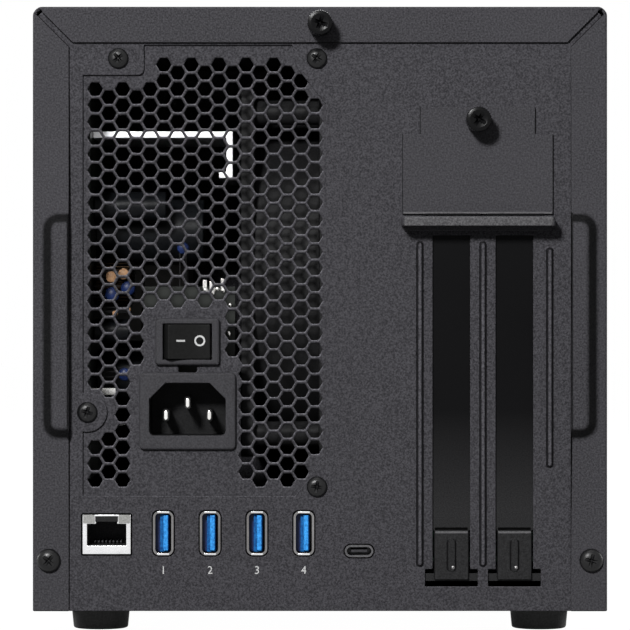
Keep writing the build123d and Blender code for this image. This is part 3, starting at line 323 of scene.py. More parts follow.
finishes = {
    # shade tones: painted shade on the pulls' slopes, the flanges' inner edges and the retainer's narrow
    # sides
    "powder_coat": grained_finish(
        "powder coat", *COAT, (0.52, 0.62), COAT_GRAINS, COAT_RELIEF,
        specular=0.012, shade=((0.006, 0.006, 0.0065), (0.0125, 0.0125, 0.013)),
    ),
    # paler shade tones: painted highlight on the front of the hood's lip
    "hood_coat": grained_finish(
        "hood coat", *COAT, (0.45, 0.55), COAT_GRAINS, COAT_RELIEF,
        specular=0.02, shade=((0.05, 0.049, 0.052), (0.115, 0.113, 0.118)),
    ),
    # dark base and pale shade tones that face marks mix: painted shade and painted highlight on the comb's
    # rims and on the panel's beads and cut-outs
    "comb_coat": grained_finish(
        "comb coat", (0.005, 0.0049, 0.0055), (0.011, 0.0107, 0.012), (0.52, 0.62), COAT_GRAINS, COAT_RELIEF,
        specular=0.012, shade=((0.085, 0.083, 0.093), (0.225, 0.2195, 0.244)),
    ),
    # pale coat; on the slot covers' tongues and the retainer's lower edge it is a painted highlight
    "pale_edge_coat": grained_finish(
        "pale coat edge", (0.07, 0.069, 0.072), (0.12, 0.118, 0.123), (0.4, 0.5), COAT_GRAINS, 0.01 * mm,
        specular=0.02,
    ),
    # paler shade tones: painted light on the slot covers toward their feet
    "dark_sheet": grained_finish(
        "dark sheet", (0.002, 0.002, 0.0023), (0.0044, 0.0044, 0.0048), (0.4, 0.5), 2500.0, 0.008 * mm,
        specular=0.03, shade=((0.014, 0.014, 0.0145), (0.028, 0.028, 0.029)), shade_mask=foot_mask,
    ),
    "black_screw": grained_finish(
        "black oxide", (0.003, 0.003, 0.0033), (0.006, 0.006, 0.0065), (0.28, 0.4), 1800.0, 0.012 * mm,
        specular=0.24,
    ),
    "thumb_screw": grained_finish(
        "oiled black oxide", (0.002, 0.002, 0.0022), (0.004, 0.004, 0.0044), (0.2, 0.3), 1800.0, 0.01 * mm,
        specular=0.08,
    ),
    # dark joints round the sockets, and painted shadow strips above the slot covers' tongues
    "dark_gap_and_shadow": grained_finish(
        "dark gap and painted shadow", (0.001, 0.001, 0.001), (0.002, 0.002, 0.002), (0.6, 0.7), 1500.0, 0.002 * mm,
        specular=0.01,
    ),
    "plain_screw": metal_finish(
        "zinc plate", (0.5, 0.5, 0.48), (0.66, 0.66, 0.64), (0.25, 0.4), 3000.0, 0.004 * mm
    ),
    # shade tones: painted shade in the mains inlet's cavity
    "grey_plastic": grained_finish(
        "spark-eroded grey moulding", (0.026, 0.0255, 0.028), (0.05, 0.049, 0.054), (0.5, 0.6), 2000.0,
        0.03 * mm, specular=0.06, shade=((0.007, 0.007, 0.0075), (0.012, 0.012, 0.0125)),
    ),
    "black_plastic": grained_finish(
        "spark-eroded black moulding", (0.006, 0.006, 0.0065), (0.013, 0.013, 0.0135), (0.48, 0.58), 2600.0,
        0.02 * mm, specular=0.1,
    ),
    "rocker_plastic": grained_finish(
        "polished black moulding", (0.004, 0.004, 0.004), (0.008, 0.008, 0.008), (0.24, 0.34), 1200.0,
        0.004 * mm, specular=0.1,
    ),
    "fan_plastic": grained_finish(
        "satin black moulding", (0.008, 0.008, 0.0085), (0.016, 0.016, 0.0165), (0.4, 0.52), 2200.0,
        0.01 * mm, specular=0.06,
    ),
    # shade tone: painted shade inside the network socket
    "socket_metal": metal_finish(
        "tin plate", (0.5, 0.5, 0.51), (0.68, 0.68, 0.69), (0.24, 0.36), 3600.0, 0.001 * mm,
        shade=(0.05, 0.05, 0.051),
    ),
    # shade tone: painted shade inside the data sockets
    "dull_metal": metal_finish(
        "dull nickel plate", (0.11, 0.107, 0.107), (0.19, 0.185, 0.185), (0.26, 0.42), 3600.0, 0.004 * mm,
        shade=(0.003, 0.006, 0.018),
    ),
    # shade tone: painted shade on the pins' side bevels
    "pin_metal": metal_finish(
        "nickel plate", (0.68, 0.67, 0.65), (0.86, 0.85, 0.83), (0.16, 0.28), 3000.0, 0.003 * mm,
        shade=(0.02, 0.02, 0.02),
    ),
    # darker copy of the tongues' blue: painted shade on the socket bodies
    "blue_plastic": grained_finish(
        "blue moulding", (0.003, 0.039, 0.15), (0.011, 0.117, 0.335), (0.34, 0.46), 1000.0, 0.008 * mm,
        specular=0.1,
    ),
    # paler copy of the same blue: painted light on the tongues, with painted shade on their right sides
    "lit_tongue_plastic": grained_finish(
        "lit blue moulding", (0.013, 0.12, 0.39), (0.052, 0.36, 0.86), (0.34, 0.46), 1000.0, 0.008 * mm,
        specular=0.1, shade=((0.002, 0.016, 0.06), (0.005, 0.04, 0.15)),
    ),
    "foot_rubber": grained_finish(
        "foot rubber", (0.085, 0.085, 0.085), (0.13, 0.13, 0.13), (0.72, 0.86), 1400.0, 0.03 * mm,
        specular=0.15,
    ),
    "board_laminate": board_finish("board laminate", (0.006, 0.035, 0.018), (0.02, 0.11, 0.05)),
    "dark_laminate": board_finish("dark laminate", (0.006, 0.007, 0.0063), (0.012, 0.014, 0.012)),
    # also the navy block of painted shade beside each upright socket's tongue
    "disc_lacquer_and_shade": grained_finish(
        "blue disc lacquer and painted socket shade", (0.006, 0.014, 0.055), (0.01, 0.024, 0.1), (0.3, 0.42), 1500.0, 0.01 * mm,
        specular=0.2,
    ),
    "film_wrap": grained_finish(
        "brown film wrap", (0.3, 0.16, 0.08), (0.42, 0.25, 0.14), (0.4, 0.5), 1200.0, 0.01 * mm, specular=0.2
    ),
    "bare_aluminium": metal_finish(
        "bare aluminium", (0.74, 0.75, 0.77), (0.9, 0.9, 0.91), (0.3, 0.46), 2600.0, 0.006 * mm
    ),
    "copper_winding": winding_finish(),
    "winding_tape": grained_finish(
        "winding tape", (0.012, 0.01, 0.007), (0.024, 0.02, 0.014), (0.4, 0.5), 500.0, 0.02 * mm
    ),
    "capacitor_sleeve": grained_finish(
        "shrunk sleeve", (0.004, 0.0045, 0.0055), (0.008, 0.009, 0.0105), (0.3, 0.4), 800.0, 0.01 * mm,
        specular=0.1,
    ),
    "white_print": grained_finish(
        "white print", (0.4, 0.4, 0.4), (0.54, 0.54, 0.54), (0.5, 0.6), 3000.0, 0.004 * mm, specular=0.1
    ),
    "lamp_window": grained_finish(
        "frosted lamp window", (0.2, 0.2, 0.195), (0.32, 0.32, 0.31), (0.3, 0.4), 2000.0, 0.006 * mm,
        specular=0.2,
    ),
}


# Building

def link(thing):
    """Puts a new object in the scene."""
    bpy.context.scene.collection.objects.link(thing)


def add_piece(name, shape, body, finish):
    """A new piece from a shape, riding on a body in a finish."""
    mesh = bpy.data.meshes.new(name)
    shape.to_mesh(mesh)
    shape.free()
    mesh.shade_smooth()
    mesh.set_sharp_from_angle(angle=SMOOTH)
    mesh.materials.append(finishes[finish])
    piece = bpy.data.objects.new(name, mesh)
    link(piece)
    even = piece.modifiers.new("even normals", "WEIGHTED_NORMAL")
    even.keep_sharp = True
    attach(piece, body)
    return piece


def read_node(node):
    """A node's solid as one closed shape, with its flat faces joined."""
    shape = bmesh.new()
    shape.from_mesh(frame["nodes"][node].data)
    bmesh.ops.remove_doubles(shape, verts=shape.verts, dist=MERGE)
    bmesh.ops.dissolve_limit(shape, angle_limit=FLAT, verts=shape.verts, edges=shape.edges)
    return shape


def mark_shaded(piece, amount):
    """Marks each face with the amount of its finish's painted tone, found from its middle and its normal."""
    mark = piece.data.attributes.new(SHADED, "FLOAT", "CORNER")
    for face in piece.data.polygons:
        value = float(amount(face.center, face.normal))
        for corner in face.loop_indices:
            mark.data[corner].value = value


def soften(shape, edges, edge, steps, clamp=False):
    """Rounds edges by a small radius."""
    bmesh.ops.bevel(
        shape, geom=edges, offset=edge, offset_type="OFFSET", affect="EDGES",
        segments=steps, profile=0.5, material=-1, clamp_overlap=clamp,
    )


def sharp_edges(shape):
    """Edges at which the surface turns."""
    return [e for e in shape.edges if e.is_manifold and e.calc_face_angle() > SHARP]


def finish_node(node, finish, edge, pressed=None):
    """A node as it is made: the same solid with its sharp edges broken by a small radius.

    Pressed tells which points lie on pressed forms, whose edges are rounded more."""
    shape = read_node(node)

    def drawn_edges():
        return [e for e in sharp_edges(shape) if pressed and all(pressed(v.co) for v in e.verts)]

    drawn = drawn_edges()
    soften(shape, [e for e in sharp_edges(shape) if e not in drawn], edge, 2)
    if pressed:
        soften(shape, drawn_edges(), PRESSED_EDGE, 4)
    piece = add_piece(node + "_finished", shape, frame["nodes"][node]["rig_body"], finish)
    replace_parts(piece, node)
    return piece


def joined(verts):
    """All points of a shape that hang together with the given ones."""
    found = set(verts)
    grown = list(found)
    while grown:
        vert = grown.pop()
        fresh = {e.other_vert(vert) for e in vert.link_edges} - found
        found |= fresh
        grown.extend(fresh)
    return found


def solids(node):
    """Lowest and highest corner of each separate solid of a node."""
    shape = read_node(node)
    waiting = set(shape.verts)
    boxes = []
    while waiting:
        island = joined([waiting.pop()])
        waiting -= island
        low = Vector([min(vert.co[axis] for vert in island) for axis in range(3)])
        high = Vector([max(vert.co[axis] for vert in island) for axis in range(3)])
        boxes.append((low, high))
    shape.free()
    return sorted(boxes, key=lambda box: (round(box[0].x, 4), round(box[0].z, 4)))


def add_box(shape, low, high, edge=0.0):
    """A block between two corners, with its edges rounded."""
    low = Vector(low)
    high = Vector(high)
    made = bmesh.ops.create_cube(shape, size=1.0)["verts"]
    bmesh.ops.scale(shape, vec=high - low, verts=made)
    bmesh.ops.translate(shape, vec=(low + high) / 2, verts=made)
    if edge:
        soften(shape, list({e for v in made for e in v.link_edges}), edge, 2, clamp=True)


def add_block(name, low, high, edge, finish):
    """A piece on the chassis that is one block."""
    shape = bmesh.new()
    add_box(shape, low, high, edge)
    add_piece(name, shape, "chassis", finish)


def add_turned(shape, profile, centre, steps):
    """A turned form about Y: profile points are (radius, depth) from its front centre to its back."""
    verts = [shape.verts.new((radius, depth, 0)) for radius, depth in profile]
    edges = [shape.edges.new(pair) for pair in zip(verts, verts[1:])]
    made = bmesh.ops.spin(
        shape, geom=verts + edges, cent=(0, 0, 0), axis=(0, 1, 0), angle=math.tau, steps=steps, use_merge=True
    )
    last = [g for g in made["geom_last"] if isinstance(g, bmesh.types.BMVert)]
    turned = list(joined(verts + last))
    bmesh.ops.translate(shape, vec=centre, verts=turned)
    bmesh.ops.remove_doubles(shape, verts=turned, dist=MERGE)
    bmesh.ops.recalc_face_normals(shape, faces=shape.faces)


def cut(shape, cutter):
    """The first shape less the second."""
    parts = []
    for solid in (shape, cutter):
        mesh = bpy.data.meshes.new("cutting")
        solid.to_mesh(mesh)
        solid.free()
        part = bpy.data.objects.new("cutting", mesh)
        link(part)
        parts.append(part)
    less = parts[0].modifiers.new("less", "BOOLEAN")
    less.operation = "DIFFERENCE"
    less.solver = "EXACT"
    less.object = parts[1]
    less.use_self = True
    bpy.context.view_layer.update()
    evaluated = parts[0].evaluated_get(bpy.context.evaluated_depsgraph_get())
    result = bmesh.new()
    result.from_mesh(evaluated.to_mesh())
    for part in parts:
        mesh = part.data
        bpy.data.objects.remove(part)
        bpy.data.meshes.remove(mesh)
    return result


def cross_cutter(face_y, length, width, depth):
    """A tapering cross that cuts a screwdriver recess into a face on the rear side."""
    cutter = bmesh.new()
    rings = []
    for level, size in ((-depth, 1.85), (depth, 0.15)):
        arm = size * length / 2
        half = size * width / 2
        ring = []
        for quarter in range(4):
            turn = Matrix.Rotation(-quarter * math.pi / 2, 3, "Y")
            for x, z in ((half, -half), (arm, -half), (arm, half)):
                ring.append(cutter.verts.new(turn @ Vector((x, face_y + level, z))))
        cutter.faces.new(ring)
        rings.append(ring)
    outer, inner = rings
    for place in range(len(outer)):
        cutter.faces.new((outer[place - 1], outer[place], inner[place], inner[place - 1]))
    bmesh.ops.recalc_face_normals(cutter, faces=cutter.faces)
    return cutter


def copy_to(shape, source, turn, place):
    """A copy of a finished shape, turned about Y and put in its place."""
    mesh = bpy.data.meshes.new("copy")
    source.to_mesh(mesh)
    mesh.transform(Matrix.Translation(place) @ Matrix.Rotation(turn, 4, "Y"))
    shape.from_mesh(mesh)
    bpy.data.meshes.remove(mesh)


def lay_on(shape, node):
    """Drops a flat mark from behind onto a node's surface and lifts it by the thickness of the ink."""
    solid = read_node(node)
    bmesh.ops.triangulate(solid, faces=solid.faces)
    tree = BVHTree.FromBMesh(solid)
    for vert in shape.verts:
        hit = tree.ray_cast(Vector((vert.co.x, cad_box[0].y - 1, vert.co.z)), -REAR)[0]
        vert.co.y = hit.y - INK
    solid.free()


# Sheet metal and mouldings that keep their solid's form

# Finish of each node, and the radius of its edges in millimetres
SOFTENED = {
    "powder_coat": {
        "outer_cover": 0.3, "slot_retainer": 0.25, "front_panel": 0.25,
        "base_tray": 0.3, "psu_lid": 0.22,
    },
    "comb_coat": {"psu_case": 0.36, "rear_panel": 0.25},
    "hood_coat": {"slot_hood": 0.3},
    "dark_sheet": {"slot_cover_left": 0.3, "slot_cover_right": 0.3},
    "grey_plastic": {
        "power_switch_frame": 0.3, "mains_inlet": 0.3, "network_socket_insert": 0.06,
        "small_data_socket_tongue": 0.08,
    },
    "black_plastic": {"graphics_slot": 0.2},
    "rocker_plastic": {"power_switch_rocker": 0.35},
    "fan_plastic": {
        "case_fan_rotor": 0.3, "psu_fan_rotor": 0.3, "graphics_slot_latch": 0.3, "case_fan_frame": 0.5,
        "psu_fan_frame": 0.5,
    },
    "socket_metal": {"network_socket_shell": 0.15},
    "dull_metal": {
        "small_data_socket_shell": 0.12, **{f"data_socket_shell_{number}": 0.2 for number in SOCKETS},
    },
    "pin_metal": {"mains_inlet_pins": 0.55},
    "lit_tongue_plastic": {f"data_socket_tongue_{number}": 0.5 for number in SOCKETS},
    "foot_rubber": {"feet": 0.7},
    "board_laminate": {"main_board": 0.1},
    "dark_laminate": {"psu_circuit_board": 0.1, "psu_filter_board": 0.1},
    "bare_aluminium": {"psu_heat_sink": 0.2},
    "copper_winding": {"psu_choke": 1.2},
    "winding_tape": {"psu_transformer": 0.6},
    "capacitor_sleeve": {"psu_capacitors": 0.6},
    "plain_screw": {"board_standoffs": 0.15},
    "black_screw": {"case_fan_screws": 0.1},
}


def rear_face(node, x, z):
    """Depth at which a node's surface is met from behind."""
    solid = read_node(node)
    bmesh.ops.triangulate(solid, faces=solid.faces)
    hit = BVHTree.FromBMesh(solid).ray_cast(Vector((x, cad_box[0].y - 1, z)), -REAR)[0]
    solid.free()
    return hit.y


cover_low, cover_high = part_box("outer_cover")
pull_limit = cover_high.x - 1.2 * mm
flange_face = rear_face("outer_cover", cover_low.x + 5 * mm, cover_low.z + 12 * mm)
wall_face = rear_face("rear_panel", 5 * mm, 150 * mm)
comb_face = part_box("psu_case")[0].y


def on_pull(co):
    """True on the outside of the finger pulls, from their foot up."""
    low, high = PULL_SPAN
    return co.y < flange_face + 0.01 * mm and abs(co.x) < pull_limit and low < co.z < high


def cover_shade(middle, normal):
    """Painted shade: darker the more a pull's side slopes, and dark on the flanges' inner edges."""
    if on_pull(middle) and normal.y < -0.5:
        return min(1.0, max(0.0, (0.98 + normal.y) / 0.2))
    inner = abs(middle.x) < pull_limit - 2 * mm and middle.z < cover_high.z - 2 * mm
    at_edge = middle.y < flange_face + 0.5 * mm and -0.97 < normal.y < -0.2
    return 0.9 if inner and at_edge and (normal.z < -0.2 or normal.x * middle.x < 0) else 0.0


def bead_shade(middle, normal):
    """Even tone over the rear panel; painted highlight on cut-outs' lower rims and on beads, painted shade on
    the beads' sides.
    """
    rim_tone = 0.38
    side_tone = 0.03
    crest_tone = 0.4
    if middle.y > wall_face - 0.02 * mm and normal.z > 0.3 and -0.95 < normal.y < -0.2:
        return rim_tone
    if middle.y < wall_face - 0.04 * mm and -0.9 < normal.y < -0.4:
        return side_tone
    return crest_tone if middle.y < wall_face - 0.2 * mm and normal.y < -0.9 else EVEN


finished = {}
for finish, nodes in SOFTENED.items():
    for node, edge in nodes.items():
        pressed = on_pull if node == "outer_cover" else None
        finished[node] = finish_node(node, finish, edge * mm, pressed)


def rim_shade(middle, normal):
    """Even tone over the comb's case, with painted highlight on the lower rim of each hole and painted shade
    on its upper rim.
    """
    if middle.y > comb_face + 0.5 * mm or normal.y > -0.2:
        return EVEN
    lean = max(-1.0, min(1.0, 1.3 * normal.z))
    return EVEN + lean * (1 - EVEN if lean > 0 else EVEN)


def side_shade(middle, normal):
    """Painted shade on the narrow sides of a flat piece."""
    return 0.8 if abs(normal.x) > 0.3 and normal.y < -0.2 else 0.0


def shade_pieces():
    """Paints light and shade into the tones of slopes, rims and narrow sides, of the hood's edge and of the
    insides of sockets.
    """
    mark_shaded(finished["outer_cover"], cover_shade)
    mark_shaded(finished["rear_panel"], bead_shade)
    mark_shaded(finished["psu_case"], rim_shade)
    for node in ("slot_retainer", "slot_cover_left", "slot_cover_right"):
        mark_shaded(finished[node], side_shade)
    # painted highlight on the front of the hood's lip
    hood_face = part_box("slot_hood")[0].y + 0.4 * mm
    mark_shaded(finished["slot_hood"], lambda middle, normal: middle.y < hood_face and normal.y < -0.6)
    # painted shade inside the sockets, deeper than their rims
    for node in SOFTENED["dull_metal"] | SOFTENED["socket_metal"]:
        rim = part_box(node)[0].y + 0.45 * mm
        mark_shaded(finished[node], lambda middle, normal: middle.y > rim)
    # painted shade on the tongues' right sides
    for node in SOFTENED["lit_tongue_plastic"]:
        mark_shaded(finished[node], lambda middle, normal: normal.x > 0.3)
    # painted shade on the pins' side bevels
    mark_shaded(finished["mains_inlet_pins"], lambda middle, normal: normal.y > -0.8)
    # painted shade in the mains inlet's cavity
    mains_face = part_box("mains_inlet")[0].y + 1.2 * mm
    mark_shaded(finished["mains_inlet"], lambda middle, normal: middle.y > mains_face)


shade_pieces()


# Screws

def make_thumbscrews():
    """Knurled thumbscrews with a rounded rim, a dished face and a cross recess."""
    low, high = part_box("cover_thumbscrew")
    head = (high.x - low.x) / 2
    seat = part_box("slot_retainer")[0].y
    reach = seat - low.y
    neck = 3.2 * mm
    neck_length = 1.6 * mm
    shank_length = high.y - seat
    ridges = 30
    groove = 0.93
    dish = 0.22 * mm
    profile = [
        (0, -reach + 0.25 * mm),
        (head * 0.5, -reach + dish),
        (head * 0.66, -reach),
        (head * 0.72, -reach),
        (head * 0.93, -reach + 0.24 * mm),
        (head, -reach + 0.8 * mm),
        (head, -neck_length - 0.7 * mm),
        (head * 0.93, -neck_length),
        (neck, -neck_length),
        (neck, 0),
        (SCREW_SHANK, 0),
        (SCREW_SHANK, shank_length),
        (0, shank_length),
    ]
    screw = bmesh.new()
    add_turned(screw, profile, (0, 0, 0), 2 * ridges)
    knurled = [v for v in screw.verts if math.hypot(v.co.x, v.co.z) > head * 0.985]
    for vert in knurled:
        angle = math.atan2(vert.co.z, vert.co.x) % math.tau
        if round(angle / (math.tau / (2 * ridges))) % 2:
            vert.co.x *= groove
            vert.co.z *= groove
    screw = cut(screw, cross_cutter(-reach + dish, length=4.4 * mm, width=1.25 * mm, depth=1.7 * mm))
    for node, turn in (("cover_thumbscrew", 0.35), ("slot_thumbscrew", 0.6)):
        low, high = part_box(node)
        shape = bmesh.new()
        copy_to(shape, screw, turn, Vector(((low.x + high.x) / 2, low.y + reach, (low.z + high.z) / 2)))
        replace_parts(add_piece(node + "_finished", shape, node, "thumb_screw"), node)
    screw.free()


def make_pan_screws(node, head_length, turns):
    """Pan head screws with a domed head and a cross recess, one at each solid of a node."""
    places = solids(node)
    low, high = places[0]
    head = (high.x - low.x) / 2
    shank_length = high.y - low.y - head_length
    profile = [
        (0, -head_length),
        (head * 0.45, -head_length + 0.04 * mm),
        (head * 0.72, -head_length * 0.86),
        (head * 0.92, -head_length * 0.6),
        (head, -head_length * 0.28),
        (head, 0),
        (SCREW_SHANK, 0),
        (SCREW_SHANK, shank_length),
        (0, shank_length),
    ]
    screw = bmesh.new()
    add_turned(screw, profile, (0, 0, 0), 36)
    screw = cut(screw, cross_cutter(-head_length, length=head * 1.3, width=1.15 * mm, depth=1.4 * mm))
    shape = bmesh.new()
    for (low, high), turn in zip(places, turns):
        seat = Vector(((low.x + high.x) / 2, low.y + head_length, (low.z + high.z) / 2))
        copy_to(shape, screw, turn, seat)
    screw.free()
    body = frame["nodes"][node]["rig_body"]
    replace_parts(add_piece(node + "_finished", shape, body, "black_screw"), node)


make_thumbscrews()
make_pan_screws("psu_screws", 1.9 * mm, (0.3, 0.9, 0.15, 0.6))
make_pan_screws("cover_screws", 2.3 * mm, (0.7, 0.25))


# Marks

def stand_up(shape):
    """Turns a flat mark so that it faces the rear."""
    bmesh.ops.rotate(shape, cent=(0, 0, 0), matrix=Matrix.Rotation(math.pi / 2, 3, "X"), verts=shape.verts)


def make_switch_marks():
    """Bar and ring on the rocker."""
    low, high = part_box("power_switch_frame")
    level = (low.z + high.z) / 2 + 0.3 * mm
    middle = (low.x + high.x) / 2
    bar = bmesh.new()
    grid = bmesh.ops.create_grid(bar, x_segments=6, y_segments=2, size=0.5)["verts"]
    bmesh.ops.scale(bar, vec=(2.75 * mm, 0.62 * mm, 1), verts=grid)
    stand_up(bar)
    bmesh.ops.translate(bar, vec=(middle - 2.1 * mm, 0, level), verts=grid)
    lay_on(bar, "power_switch_rocker")
    add_piece("switch_on_mark", bar, "rocker", "white_print")
    ring = bmesh.new()
    bmesh.ops.create_circle(ring, cap_ends=False, segments=40, radius=1.77 * mm)
    inner = bmesh.ops.extrude_edge_only(ring, edges=ring.edges[:])["geom"]
    inner = [v for v in inner if isinstance(v, bmesh.types.BMVert)]
    bmesh.ops.scale(ring, vec=(0.67, 0.67, 1), verts=inner)
    stand_up(ring)
    bmesh.ops.translate(ring, vec=(middle + 4.0 * mm, 0, level), verts=ring.verts)
    lay_on(ring, "power_switch_rocker")
    add_piece("switch_off_mark", ring, "rocker", "white_print")


def make_socket_numbers():
    """Plain numbers 1 to 4 below the upright sockets."""
    for number in SOCKETS:
        low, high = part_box(f"data_socket_shell_{number}")
        letters = bpy.data.curves.new("number", "FONT")
        letters.body = str(number)
        letters.size = 3.6 * mm
        letters.align_x = "CENTER"
        drawn = bpy.data.objects.new("number", letters)
        link(drawn)
        mesh = bpy.data.meshes.new_from_object(drawn)
        shape = bmesh.new()
        shape.from_mesh(mesh)
        bpy.data.objects.remove(drawn)
        bpy.data.curves.remove(letters)
        bpy.data.meshes.remove(mesh)
        stand_up(shape)
        bmesh.ops.translate(shape, vec=((low.x + high.x) / 2, 0, low.z - 5.4 * mm), verts=shape.verts)
        lay_on(shape, "rear_panel")
        add_piece(f"socket_number_{number}", shape, "chassis", "white_print")


make_switch_marks()
make_socket_numbers()


# Sockets

def make_network_details():
    """Two frosted lamp windows and the latch recess of the network socket."""
    low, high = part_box("network_socket_shell")
    middle = (low.x + high.x) / 2
    apart = 5.7 * mm
    half = 1.85 * mm
    windows = bmesh.new()
    for side in (-1, 1):
        edge = middle + side * apart
        add_box(
            windows, (edge - half, low.y - 0.12 * mm, high.z - 2.85 * mm),
            (edge + half, low.y + 1.0 * mm, high.z - 0.1 * mm), 0.12 * mm,
        )
    add_piece("network_lamp_windows", windows, "chassis", "lamp_window")
    half = 3.7 * mm
    add_block(
        "network_latch_recess", (middle - half, low.y - 0.06 * mm, high.z - 2.3 * mm),
        (middle + half, low.y + 0.8 * mm, high.z - 0.5 * mm), 0.05 * mm, "black_plastic",
    )


def make_data_socket_bodies():
    """Blue body that carries the tongue of each upright socket, a darker copy of its blue in painted shade,
    and a navy block of painted shade beside it.
    """
    past_tongue = 0.3 * mm
    corner = 0.15 * mm
    for number in SOCKETS:
        shell_low, shell_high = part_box(f"data_socket_shell_{number}")
        low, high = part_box(f"data_socket_tongue_{number}")
        base = low.z - past_tongue
        top = high.z + past_tongue
        add_block(
            f"data_socket_body_{number}", (shell_low.x + 2.2 * mm, low.y + 0.9 * mm, base),
            (shell_high.x - 1.5 * mm, high.y, top), corner, "blue_plastic",
        )
        # navy block of painted shade beside the tongue
        add_block(
            f"data_socket_painted_shade_{number}", (shell_low.x + 0.6 * mm, low.y + 2.5 * mm, base),
            (shell_low.x + 2.4 * mm, high.y, top), corner, "disc_lacquer_and_shade",
        )


make_network_details()
make_data_socket_bodies()


def add_ring(shape, centre, outer, inner, front, back):
    """A flat ring that faces the rear.

    Outer and inner are (width, height, corner); front and back are depths."""
    loops = []
    for (width, height, corner), depth in ((outer, back), (outer, front), (inner, front), (inner, back)):
        loop = []
        for quarter, (side, level) in enumerate(((1, 1), (-1, 1), (-1, -1), (1, -1))):
            for step in range(7):
                angle = (quarter + step / 6) * math.pi / 2
                x = centre.x + side * (width / 2 - corner) + corner * math.cos(angle)
                z = centre.z + level * (height / 2 - corner) + corner * math.sin(angle)
                loop.append(shape.verts.new((x, depth, z)))
        loops.append(loop)
    for first, second in zip(loops, loops[1:] + loops[:1]):
        for place in range(len(first)):
            shape.faces.new((first[place - 1], first[place], second[place], second[place - 1]))
    bmesh.ops.remove_doubles(shape, verts=shape.verts, dist=MERGE)
    bmesh.ops.recalc_face_normals(shape, faces=shape.faces)


def make_socket_rims():
    """Rims of the small and the upright sockets, bars at the ends of these, and the gap round each socket."""
    face = panel_face
    small_low, small_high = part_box("small_data_socket_shell")
    small_size = small_high - small_low
    places = [((small_low + small_high) / 2, small_size.x, small_size.z, small_size.z / 2, 0.65 * mm)]
    for number in SOCKETS:
        shell_low, shell_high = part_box(f"data_socket_shell_{number}")
        low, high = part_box(f"data_socket_tongue_{number}")
        middle = Vector(((shell_low.x + shell_high.x) / 2, 0, (low.z + high.z) / 2))
        places.append((middle, shell_high.x - shell_low.x, high.z - low.z + 2.6 * mm, 2.0 * mm, 0.7 * mm))
    gaps = bmesh.new()
    small_rim = bmesh.new()
    rims = bmesh.new()
    bars = bmesh.new()
    wider = 0.9 * mm
    gap_depths = (face - 0.05 * mm, face + 0.2 * mm)
    for middle, width, height, corner, wall in places:
        outer = (width, height, corner)
        inner = (width - 2 * wall, height - 2 * wall, corner - wall)
        rim = small_rim if corner == height / 2 else rims
        add_ring(rim, middle, outer, inner, face - 0.14 * mm, face + 0.3 * mm)
        around = (width + wider, height + wider, corner + wider / 2)
        add_ring(gaps, middle, around, outer, *gap_depths)
        if rim is rims:
            for side in (-1, 1):
                edge = middle.z + side * (height / 2 - 0.35 * mm)
                reach = Vector((1.9 * mm, 0, 0.28 * mm))
                line = Vector((middle.x, face - 0.17 * mm, edge))
                add_box(bars, line - reach, line + reach + Vector((0, 0.2 * mm, 0)), 0.05 * mm)
    low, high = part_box("network_socket_shell")
    middle = Vector(((low.x + high.x) / 2, 0, high.z - 6.4 * mm))
    around = (16.5 * mm, 13.7 * mm, 0.7 * mm)
    outer = (15.5 * mm, 12.7 * mm, 0.2 * mm)
    add_ring(gaps, middle, around, outer, *gap_depths)
    add_piece("socket_gaps", gaps, "chassis", "dark_gap_and_shadow")
    add_piece("small_socket_rim", small_rim, "chassis", "pale_edge_coat")
    add_piece("data_socket_rims", rims, "chassis", "dull_metal")
    add_piece("data_socket_rim_ends", bars, "chassis", "socket_metal")


make_socket_rims()


# Slot covers

def add_dome(shape, centre, radius, flat):
    """A ball pressed flat along Y to a share of its depth."""
    place = Matrix.Translation(centre) @ Matrix.Diagonal((1.0, flat, 1.0, 1.0))
    bmesh.ops.create_uvsphere(shape, u_segments=16, v_segments=10, radius=radius, matrix=place)


def make_slot_cover_details():
    """Painted highlight edge and painted shadow strip above each slot cover's tongue, a metal dome for the
    glint on its rib, and the strip behind its end.
    """
    edges = bmesh.new()
    shadow_strips = bmesh.new()
    glint_domes = bmesh.new()
    rests = bmesh.new()
    behind = panel_face + PANEL_SHEET
    half = 5.3 * mm
    rest = 9.5 * mm
    edge_low, edge_high = 32.3 * mm, 33.0 * mm
    shadow_low, shadow_high = 33.2 * mm, 34.2 * mm
    rest_low, rest_high = 16.9 * mm, 19.4 * mm
    glint_level = 21.4 * mm
    for node in ("slot_cover_left", "slot_cover_right"):
        low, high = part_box(node)
        middle = (low.x + high.x) / 2
        face = rear_face(node, middle + 4 * mm, 25 * mm)
        strip = rear_face(node, middle, 60 * mm)
        # pale strip: painted highlight on the tongue's top edge
        add_box(
            edges, (middle - half, face - 0.15 * mm, edge_low),
            (middle + half, face + 0.3 * mm, edge_high), 0.15 * mm,
        )
        # dark strip: painted shadow above the tongue
        add_box(
            shadow_strips, (middle - half, strip - 0.06 * mm, shadow_low),
            (middle + half, strip + 0.2 * mm, shadow_high), 0.02 * mm,
        )
        add_box(
            rests, (middle - rest, behind, rest_low), (middle + rest, behind + 0.8 * mm, rest_high), 0.2 * mm
        )
        rib = rear_face(node, middle, glint_level)
        # metal dome standing in for the glint at the rib's lower end
        add_dome(glint_domes, Vector((middle + 0.5 * mm, rib, glint_level)), 0.6 * mm, 0.5)
    add_piece("slot_cover_highlight_edges", edges, "chassis", "pale_edge_coat")
    add_piece("slot_cover_shadow_strips", shadow_strips, "chassis", "dark_gap_and_shadow")
    add_piece("slot_cover_glint_domes", glint_domes, "chassis", "dull_metal")
    add_piece("slot_foot_rests", rests, "chassis", "dark_sheet")


